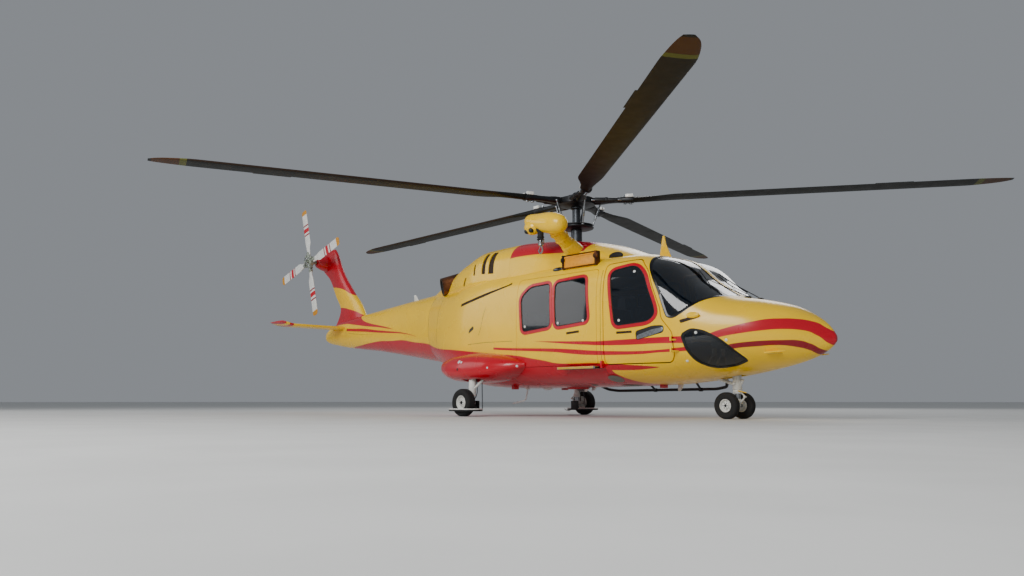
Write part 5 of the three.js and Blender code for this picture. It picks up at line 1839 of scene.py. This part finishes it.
class HELICOPTER_OT_rotor_head(bpy.types.Operator):
    """Mast, hub, grips, dampers, pitch links and swashplate."""
    bl_idname = "helicopter.rotor_head"
    bl_label = "Rotor head"

    def execute(self, context):
        mast = turned("mast", [
            (0, 2781), (96, 2781), (96, 3195), (70, 3200), (70, 3560), (98, 3580), (98, 3600), (0, 3600),
        ], (0, 0, 0), (0, 0, 1), 64)
        finished(mast, "main_rotor", "machined_steel", LOOKS["cast"], "main_rotor_hub")
        swash = turned("swashplate", [
            (96, 3200), (210, 3208), (270, 3216), (292, 3224), (300, 3240), (298, 3252), (250, 3256),
            (250, 3264), (296, 3268), (298, 3284), (270, 3292), (180, 3296), (96, 3330),
        ], (0, 0, 0), (0, 0, 1), 64)
        finished(swash, "main_rotor", "machined_steel", LOOKS["dark"], "main_rotor_hub")
        hub = turned("hub", [
            (0, HUB_Z - 95), (170, HUB_Z - 95), (230, HUB_Z - 70), (322, HUB_Z - 58), (330, HUB_Z - 50),
            (330, HUB_Z + 42), (322, HUB_Z + 50), (230, HUB_Z + 62), (180, HUB_Z + 96), (150, HUB_Z + 112),
            (90, HUB_Z + 118), (0, HUB_Z + 120),
        ], (0, 0, 0), (0, 0, 1), 80)
        finished(hub, "main_rotor", "machined_steel", LOOKS["dark"], "main_rotor_hub")
        self.round("grips", self.grip(), LOOKS["dark"])
        self.round("dampers", self.damper(), LOOKS["plastic"])
        self.round("links", self.links(), LOOKS["steel"])
        clamps = [
            box("clamp", 860, 990, side * 70 - 28, side * 70 + 28, HUB_Z + 30, HUB_Z + 84, 8)
            for side in (1, -1)
        ]
        self.round("clamps", clamps, LOOKS["white"])
        return {"FINISHED"}

    def round(self, name, pieces, look):
        turned_set(name, pieces, BLADE_COUNT, (0, 0, 1), (0, 0, 0), BLADE_FIRST_AZIMUTH, "main_rotor",
                   "machined_steel", look, "main_rotor_hub")

    def grip(self):
        rows = ((250, 60, 50), (300, 72, 60), (420, 85, 62), (470, 92, 56), (560, 70, 48), (700, 66, 44),
                (820, 78, 50), (900, 90, 58), (985, 90, 58), (1000, 86, 54))
        arm = skin("arm", [superring(x, y, z, HUB_Z) for x, y, z in rows])
        horn = skin("horn", [superring(x, 26, 14, HUB_Z - 30, 3, 20) for x in (396, 402, 450, 456)])
        horn.data.transform(about((420, 0, HUB_Z), (0, 0, 1), 90))
        return [horn, arm]

    def damper(self):
        a, b = DAMPER_ENDS
        return [
            rod("damper", a.lerp(b, 0.12), a.lerp(b, 0.5), 46, bevel=6),
            rod("damper", a.lerp(b, 0.5), a.lerp(b, 0.86), 36, bevel=5),
            rod("damper", a.lerp(b, 0.46), a.lerp(b, 0.54), 50, bevel=5),
        ]

    def links(self):
        low, high = Vector((270, 60, 3262)), Vector((420, 75, HUB_Z - 20))
        a, b = DAMPER_ENDS
        pieces = [
            rod("link", low, high, 13, sides=20),
            rod("link", low.lerp(high, 0.3), low.lerp(high, 0.7), 20, sides=20, bevel=4),
            ball("link", low, (26, 26, 26)),
            ball("link", high, (26, 26, 26)),
            rod("link", a, a.lerp(b, 0.14), 20, bevel=3),
            rod("link", a.lerp(b, 0.84), b, 17, bevel=3),
        ]
        for x in (850, 950):
            pieces.append(rod("bolt", (x, 0, HUB_Z - 74), (x, 0, HUB_Z + 74), 20, sides=24, bevel=3))
            for z in (HUB_Z - 80, HUB_Z + 66):
                pieces.append(rod("nut", (x, 0, z), (x, 0, z + 14), 30, sides=6, bevel=2))
        return pieces


class HELICOPTER_OT_main_blades(bpy.types.Operator):
    """Main blades with swept tips and trim tabs."""
    bl_idname = "helicopter.main_blades"
    bl_label = "Main blades"

    def execute(self, context):
        def section(reach):
            row = row_at(MAIN_BLADE, reach)
            return lambda u, half: at(reach, row[1] * (0.3 - u) - row[3], HUB_Z + half * row[2])

        reaches = [1000.3, 1100, 1250, 1400, 1500, 1600, 1700, 1800] + [2000 + 250 * i for i in range(17)]
        reaches += [6250, 6350, 6450, 6550, 6650, 6720, 6780, 6830, 6870, 6900]
        blade = wing("blade", [section(reach) for reach in reaches])
        tab = box("tab", 4850, 5420, -308, -270, HUB_Z - 2, HUB_Z + 2)
        first = mapped(joined("blade", [tab, blade]), (0, 0, 0), 1)
        for i in range(BLADE_COUNT):
            twin = copied(first, f"skin_main_blade_{i + 1}")
            twin.data.transform(about((0, 0, 0), (0, 0, 1), BLADE_FIRST_AZIMUTH + 360 / BLADE_COUNT * i))
            finished(twin, "main_rotor", "black_blade_skin", LOOKS["blade"], f"main_blade_{i + 1}")
        bpy.data.objects.remove(first)
        return {"FINISHED"}


class HELICOPTER_OT_tail_rotor(bpy.types.Operator):
    """Tail rotor: four banded blades on a hub with its cuffs, links and spider."""
    bl_idname = "helicopter.tail_rotor"
    bl_label = "Tail rotor"

    def execute(self, context):
        x, y, z = TAIL_HUB

        def section(reach):
            row = row_at(TAIL_BLADE, reach)
            return lambda u, half: at(x + reach, y + half * row[2], z + row[1] * (0.3 - u) - row[3])

        reaches = [180, 250, 330, 380, 430, 480, 700, 900, 1100, 1300, 1325, 1340, 1350]
        blade = mapped(wing("blade", [section(reach) for reach in reaches]), TAIL_HUB, 2)
        self.round("skin_tail_blades", [blade], "white_blade_skin", LOOKS["tail_blade"])
        cuffs = [
            rod("cuff", (x + 60, y, z), (x + 250, y, z), 48, 40, bevel=6),
            rod("cuff", (x + 225, y - 32, z), (x + 225, y + 32, z), 44, bevel=5),
            box("cuff", x + 100, x + 180, y - 70, y + 30, z + 20, z + 74, 8),
        ]
        self.round("cuffs_tail", cuffs, "machined_steel", LOOKS["anodised"])
        links = [
            rod("link", (x + 60, y - 110, z + 50), (x + 190, y - 40, z + 62), 8, bevel=1),
            ball("link", (x + 60, y - 110, z + 50), (14, 14, 14), 16),
            ball("link", (x + 190, y - 40, z + 62), (15, 15, 15), 16),
            rod("link", (x, y - 112, z), (x + 66, y - 110, z + 50), 12, bevel=2),
        ]
        self.round("links_tail", links, "machined_steel", LOOKS["steel"])
        hub = turned("hub_tail", [
            (0, -330), (42, -328), (44, -60), (110, -54), (128, -46), (130, -36), (130, 30), (124, 46),
            (90, 54), (46, 56), (46, 90), (30, 96), (30, 128), (0, 130),
        ], TAIL_HUB, (0, -1, 0), 64)
        cut(hub, box("inside", x - 200, x + 200, -330, 400, z - 200, z + 200))
        finished(hub, "tail_rotor", "machined_steel", LOOKS["anodised"], "tail_rotor")
        return {"FINISHED"}

    def round(self, name, pieces, slot, look):
        turned_set(name, pieces, TAIL_BLADE_COUNT, (0, -1, 0), TAIL_HUB, TAIL_FIRST_ANGLE, "tail_rotor", slot,
                   look, "tail_rotor")


# Outside kit

# The middle of the hoist's pod
HOIST = (560, -1330, 3060)


class HELICOPTER_OT_hoist(bpy.types.Operator):
    """Rescue hoist: pod, ribbed bracket, drum, cable and hook."""
    bl_idname = "helicopter.hoist"
    bl_label = "Rescue hoist"

    def execute(self, context):
        x, y, z = HOIST
        pod = turned("pod_hoist", [
            (0, -430), (45, -426), (80, -415), (115, -382), (140, -340), (160, -270), (170, -200),
            (170, -120), (165, -50), (155, 30), (140, 120), (132, 190), (125, 260), (118, 320), (105, 370),
            (82, 405), (55, 430), (28, 438), (0, 440),
        ], (x, y, z), (-0.98, 0, 0.199), 64)
        cut(pod, ball("motor", (x - 260, y - 30, z - 45), (150, 125, 120), 32), "UNION")
        for place in ((x - 330, y - 105, z - 118), (x - 205, y - 125, z - 118)):
            cut(pod, ball("hole", place, (46, 46, 46), 20))
        finished(pod, "airframe", "yellow_painted_composite", LOOKS["yellow"], "rescue_hoist")
        # Black balls fill the two holes in the motor: painted shade inside them
        holes = [
            ball("hole", (x + dx, y + dy, z - 108), (42, 42, 42), 16)
            for dx, dy in ((-326, -95), (-208, -114))
        ]
        finished(joined("holes_hoist", holes), "airframe", "black_moulded_plastic", LOOKS["plastic"])
        root, end = Vector((x + 40, -600, 2600)), Vector((x + 40, y + 80, z - 40))
        arm = [
            rod("bracket", root, end, 120, 105, sides=48),
            rod("bracket", root, root.lerp(end, 0.42), 175, 125, sides=48, bevel=10),
        ]
        for share in (0.6, 0.78):
            arm.append(rod(
                "bracket", root.lerp(end, share), root.lerp(end, share + 0.02), 127, 126, sides=48, bevel=2,
            ))
        bracket = joined("bracket_hoist", arm)
        finished(bracket, "airframe", "yellow_painted_composite", LOOKS["yellow"], "rescue_hoist")
        rx, ry = x - 80, y - 30
        drum = turned("drum_hoist", [
            (0, -280), (30, -280), (58, -272), (60, -262), (48, -254), (48, -240), (60, -232), (60, -222),
            (48, -214), (50, -150), (70, -120), (74, -90), (0, -90),
        ], (rx, ry, z), (0, 0, 1), 48)
        finished(drum, "airframe", "black_moulded_plastic", LOOKS["rubber"], "rescue_hoist")
        hook = [
            rod("hook", (rx, ry, z - 340), (rx, ry, z - 260), 26, bevel=3),
            rod("hook", (rx, ry, z - 365), (rx, ry, z - 335), 38, bevel=5),
            ball("hook", (rx, ry, z - 312), (36, 36, 26)),
            tube("hook", [
                (rx, ry, z - 360), (rx + 34, ry, z - 400), (rx + 38, ry, z - 450), (rx + 2, ry, z - 486),
                (rx - 36, ry, z - 455), (rx - 38, ry, z - 428),
            ], 13),
            rod("hook", (rx - 38, ry, z - 432), (rx, ry, z - 372), 6, bevel=1),
            tube("hook", [
                (rx - 50, ry, z - 270), (rx - 60, ry + 20, z - 330), (rx - 20, ry + 44, z - 352),
                (rx + 30, ry + 40, z - 320), (rx + 52, ry, z - 270),
            ], 9),
        ]
        finished(joined("hook_hoist", hook), "airframe", "machined_steel", LOOKS["steel"], "rescue_hoist")
        return {"FINISHED"}


RAIL = [
    (-360, 880, 560), (-290, 1130, 465), (-120, 1205, 440), (2020, 1105, 450), (2270, 1010, 480),
    (2390, 830, 620),
]


def bent(points, radius, steps=5):
    """A path of straight runs whose corners are rounded."""
    path = [Vector(points[0])]
    for before, here, after in zip(points, points[1:], points[2:]):
        here = Vector(here)
        start = here + (Vector(before) - here).normalized() * radius
        end = here + (Vector(after) - here).normalized() * radius
        for i in range(steps + 1):
            t = i / steps
            path.append(start * (1 - t) ** 2 + here * 2 * t * (1 - t) + end * t ** 2)
    return path + [Vector(points[-1])]


class HELICOPTER_OT_steps(bpy.types.Operator):
    """Bent-tube boarding step on the left, gritted step board on the right."""
    bl_idname = "helicopter.steps"
    bl_label = "Steps"

    def execute(self, context):
        rail = [tube("rail", bent(RAIL, 55), 25, 20, 3)]
        for x, y in ((740, 1165), (1700, 1120)):
            rail.append(rod("strut", (x + 100, 850, 560), (x, y, 445), 18, sides=20))
            rail.append(rod("clamp", (x - 30, y, 445), (x + 30, y, 444), 33, sides=24, bevel=4))
        finished(
            joined("rail_step_left", rail), "airframe", "black_painted_tube", LOOKS["plastic"],
            "step_rail_left",
        )
        board = box("board_step_right", 700, 1480, -1233, -900, 737, 765, 5)
        cut(board, loft("hull", HULL, 50, 160, inset=-1))
        finished(board, "airframe", "black_painted_tube", LOOKS["floor"], "step_board_right")
        ribs = [box("rib", 716 + 20 * i, 724 + 20 * i, -1240, -1130, 738, 771, 1.5) for i in range(37)]
        finished(
            joined("ribs_step_right", ribs), "airframe", "yellow_painted_skin", LOOKS["yellow"],
            "step_board_right",
        )
        edges = [
            box("edge", 700, 1480, -1235, -1227, 735, 771, 2),
            box("edge", 1472, 1480, -1230, -1125, 735, 771, 2),
        ]
        finished(
            joined("edges_step_right", edges), "airframe", "machined_steel", LOOKS["steel"],
            "step_board_right",
        )
        lug = box("lug_step_right", 1492, 1532, -1140, -1060, 740, 850, 8)
        cut(lug, rod("hole", (1480, -1115, 770), (1550, -1115, 770), 14))
        finished(lug, "airframe", "red_painted_composite", LOOKS["crimson"])
        return {"FINISHED"}


# Panel lines: side view points joined by straight lines, on the hull
HULL_LINES = (
    [(-3380, 1100), (-3380, 2300)],
    [(-1295, 1385), (-1240, 1500), (-1180, 1700), (-1097, 1880)],
    [(1500, 600), (1500, 1400), (1500, 2250)],
    [(-1600, 1240), (-1100, 1252), (-400, 1240)],
    [(-2900, 1300), (-2850, 1800), (-2800, 2200)],
)
BELLY_COVERS = ((1425, -296, 500, 165), (1539, -819, 586, 128), (875, -560, 500, 60))


class HELICOPTER_OT_details(bpy.types.Operator):
    """Panel lines, wipers, antennas, wire cutter, vents and belly covers."""
    bl_idname = "helicopter.details"
    bl_label = "Details"

    def execute(self, context):
        section = [(-3, -2), (-3, 0.6), (3, 0.6), (3, -2)]
        for name, side in SIDES:
            lines = []
            for points in HULL_LINES:
                spots = [beside(HULL, x, z, side) for x, z in dense(points, 30)[:-1]]
                open_run = spots[:self.reach_of(points, spots)]
                lines.append(trim("line", HULL, open_run, section, closed=False))
            finished(joined(f"seams_{name}", lines), "airframe", "dark_interior", LOOKS["plastic"])
            # A dark patch on the skin stands for a vent's opening: painted shade
            vent = patch(
                f"vent_{name}", HULL, [(-1590, 1430), (-1560, 1500), (-1450, 1560), (-1440, 1500)], 30,
                side, -1, 2,
            )
            finished(vent, "airframe", "dark_interior", LOOKS["plastic"])
            # The scoop's mouth is a dark brown patch on the skin: painted shade
            scoop = patch(
                f"scoop_{name}", HULL, [(2850, 1330), (3080, 1390), (3060, 1430), (2830, 1375)], 20, side,
                -1, 3,
            )
            finished(scoop, "airframe", "red_painted_composite", LOOKS["groove_shade"])
            root, _ = onto(HULL, 3010, side * 920, 1430)
            lip = ball(f"lip_scoop_{name}", root, (120, 34, 44), 32)
            finished(lip, "airframe", "yellow_painted_skin", LOOKS["yellow"])
            self.wiper(name, side)
        self.antennas()
        self.covers()
        cutter = self.wire_cutter()
        finished(cutter, "airframe", "yellow_painted_skin", LOOKS["yellow"], "wire_cutter")
        return {"FINISHED"}

    def reach_of(self, points, spots):
        """How many spots lie on the open run, since dense also closes an outline."""
        length = sum(math.dist(a, b) for a, b in zip(points, points[1:]))
        walked = 0
        for i, (a, b) in enumerate(zip(spots, spots[1:])):
            walked += math.dist((a.x, a.z), (b.x, b.z))
            if walked >= length:
                return i + 1
        return len(spots)

    def wiper(self, name, side):
        root, normal = onto(HULL, 3420, side * 160, 1700)
        motor = ball("wiper", root, (60, 42, 26), 24)
        arm_end, _ = onto(HULL, 2850, side * 330, 2000, 14)
        arm = rod("wiper", root + normal * 16, arm_end, 7, 5)
        blade_low, _ = onto(HULL, 3030, side * 420, 1800, 9)
        blade_high, _ = onto(HULL, 2680, side * 240, 2150, 9)
        blade = rod("wiper", blade_low, blade_high, 7, 7)
        finished(
            joined(f"wiper_{name}", [arm, blade, motor]), "airframe", "black_moulded_plastic",
            LOOKS["plastic"],
        )

    def antennas(self):
        """Blade antennas under the belly, on the cowling and on the boom, and a bent whip below."""
        blades = []
        for x, y, z, drop in ((1883, 349, 519, 110), (-9, 255, 485, 70), (-37, 475, 496, 60)):
            outline = [at(x + px, y, z + pz) for px, pz in ((60, 6), (-60, 6), (-70, -drop), (-20, -drop))]
            blades.append(plate("antenna", outline, 12, 3))
        for x, z in ((-4600, 2340), (-2600, 2700)):
            outline = [at(x + px, -6, z + pz) for px, pz in ((90, -10), (-90, -10), (-110, 150), (-50, 150))]
            blades.append(plate("antenna", outline, 12, 3))
        blades.append(tube(
            "antenna", bent([(-944, -267, 490), (-1010, -267, 270), (-1330, -267, 215)], 50), 12, 12, 3,
        ))
        blades.append(ball("antenna", (-950, -267, 478), (42, 42, 26), 20))
        blades.append(ball("antenna", (-594, -129, 478), (115, 34, 34), 24))
        finished(joined("antennas", blades), "airframe", "white_blade_skin", LOOKS["white"])

    def covers(self):
        """Oval covers set in the belly's skin."""
        pieces = []
        for x, y, z, radius in BELLY_COVERS:
            low, normal = onto(HULL, x, y, z, 1)
            pieces.append(stood(ball("cover", (0, 0, 0), (radius, radius, 10), 40), low, normal))
        finished(joined("covers_belly", pieces), "airframe", "pale_trim", LOOKS["radome"])
        dome = ball("dome_belly", (-243, 369, 482), (118, 118, 62), 40)
        finished(dome, "airframe", "black_moulded_plastic", LOOKS["screen"])
        ring = turned(
            "ring_belly", [(112, -16), (134, -14), (138, 0), (134, 16), (112, 16)], (-243, 369, 478),
            (0, 0, 1),
        )
        finished(ring, "airframe", "machined_steel", LOOKS["steel"])

    def wire_cutter(self):
        corners = ((2060, 2350), (1760, 2400), (1845, 2835), (1880, 2840), (1905, 2700))
        outline = [at(x, -12, z) for x, z in corners]
        blade = plate("cutter_roof", outline, 24, 6)
        blade.data.transform(Matrix.Translation((0, -12 * MM - min(v.co.y for v in blade.data.vertices), 0)))
        return blade


# Studio

# Lamps: name, place, share of the key's power, and size
LAMPS = (
    ("key", (7, -17, 9), 1, 9),
    ("fill", (-13, -12, 8), 0.22, 10),
    ("back", (-5, 15, 12), 0.35, 10),
)
FLOOR_SIZE = 700
SKY_STRENGTH = 0.32
CAMERA_AZIMUTH = -42.9
CAMERA_TARGET = (0.25, 0, 2.35)
CAMERA_LENS = 30


class HELICOPTER_OT_stage(bpy.types.Operator):
    """Floor, soft lamps, sky and the camera at floor level."""
    bl_idname = "helicopter.stage"
    bl_label = "Stage"

    def execute(self, context):
        settings = context.scene.helicopter_studio
        fresh()
        bpy.ops.mesh.primitive_plane_add(size=FLOOR_SIZE, location=(0, 0, 0))
        floor = named(bpy.context.object, "floor")
        floor.data.materials.append(coarse("Pale studio floor", "#DADAD7", "#D3D3D0", 900, 0.75, bump=0.02))
        world = bpy.data.worlds.new("Studio")
        world.use_nodes = True
        context.scene.world = world
        sky = world.node_tree.nodes["Background"].inputs
        sky["Color"].default_value = tone("#E4EAF2")
        sky["Strength"].default_value = SKY_STRENGTH
        for name, place, share, size in LAMPS:
            light = bpy.data.lights.new(name, "AREA")
            light.energy = settings.key_power * share
            light.size = size
            lamp = bpy.data.objects.new(name, light)
            context.scene.collection.objects.link(lamp)
            lamp.location = place
            lamp.rotation_euler = (Vector((0, 0, 2)) - Vector(place)).to_track_quat("-Z", "Y").to_euler()
        camera = bpy.data.objects.new("camera", bpy.data.cameras.new("camera"))
        context.scene.collection.objects.link(camera)
        target = Vector(CAMERA_TARGET)
        azimuth = math.radians(CAMERA_AZIMUTH)
        away = settings.distance
        camera.location = (target.x + away * math.cos(azimuth), away * math.sin(azimuth), settings.height)
        camera.rotation_euler = (target - camera.location).to_track_quat("-Z", "Y").to_euler()
        camera.data.lens = CAMERA_LENS
        context.scene.camera = camera
        return {"FINISHED"}


OPERATORS = (
    HELICOPTER_OT_finishes,
    HELICOPTER_OT_fuselage,
    HELICOPTER_OT_doors,
    HELICOPTER_OT_glazing,
    HELICOPTER_OT_studs,
    HELICOPTER_OT_cabin,
    HELICOPTER_OT_seats,
    HELICOPTER_OT_roof,
    HELICOPTER_OT_exhausts,
    HELICOPTER_OT_tail,
    HELICOPTER_OT_sponsons,
    HELICOPTER_OT_main_gear,
    HELICOPTER_OT_nose_gear,
    HELICOPTER_OT_rotor_head,
    HELICOPTER_OT_main_blades,
    HELICOPTER_OT_tail_rotor,
    HELICOPTER_OT_hoist,
    HELICOPTER_OT_steps,
    HELICOPTER_OT_details,
    HELICOPTER_OT_stage,
)
SETTINGS = {
    "helicopter_paint": HelicopterPaint,
    "helicopter_sizes": HelicopterSizes,
    "helicopter_studio": StudioSettings,
}


class HELICOPTER_PT_panel(bpy.types.Panel):
    """Lists the settings and the steps that build the machine."""
    bl_idname = "HELICOPTER_PT_panel"
    bl_label = "Rescue helicopter"
    bl_space_type = "VIEW_3D"
    bl_region_type = "UI"
    bl_category = "Helicopter"

    def draw(self, context):
        for name, group in SETTINGS.items():
            part = self.layout.box()
            for key in group.__annotations__:
                part.prop(getattr(context.scene, name), key)
        for operator in OPERATORS:
            self.layout.operator(operator.bl_idname)


def register():
    for name, group in SETTINGS.items():
        bpy.utils.register_class(group)
        setattr(bpy.types.Scene, name, bpy.props.PointerProperty(type=group))
    for cls in (*OPERATORS, HELICOPTER_PT_panel):
        bpy.utils.register_class(cls)


def unregister():
    for cls in (HELICOPTER_PT_panel, *reversed(OPERATORS)):
        bpy.utils.unregister_class(cls)
    for name, group in SETTINGS.items():
        delattr(bpy.types.Scene, name)
        bpy.utils.unregister_class(group)


def main():
    register()
    for operator in OPERATORS:
        name = operator.bl_idname.split(".")[1]
        getattr(bpy.ops.helicopter, name)()


if __name__ == "__main__":
    main()
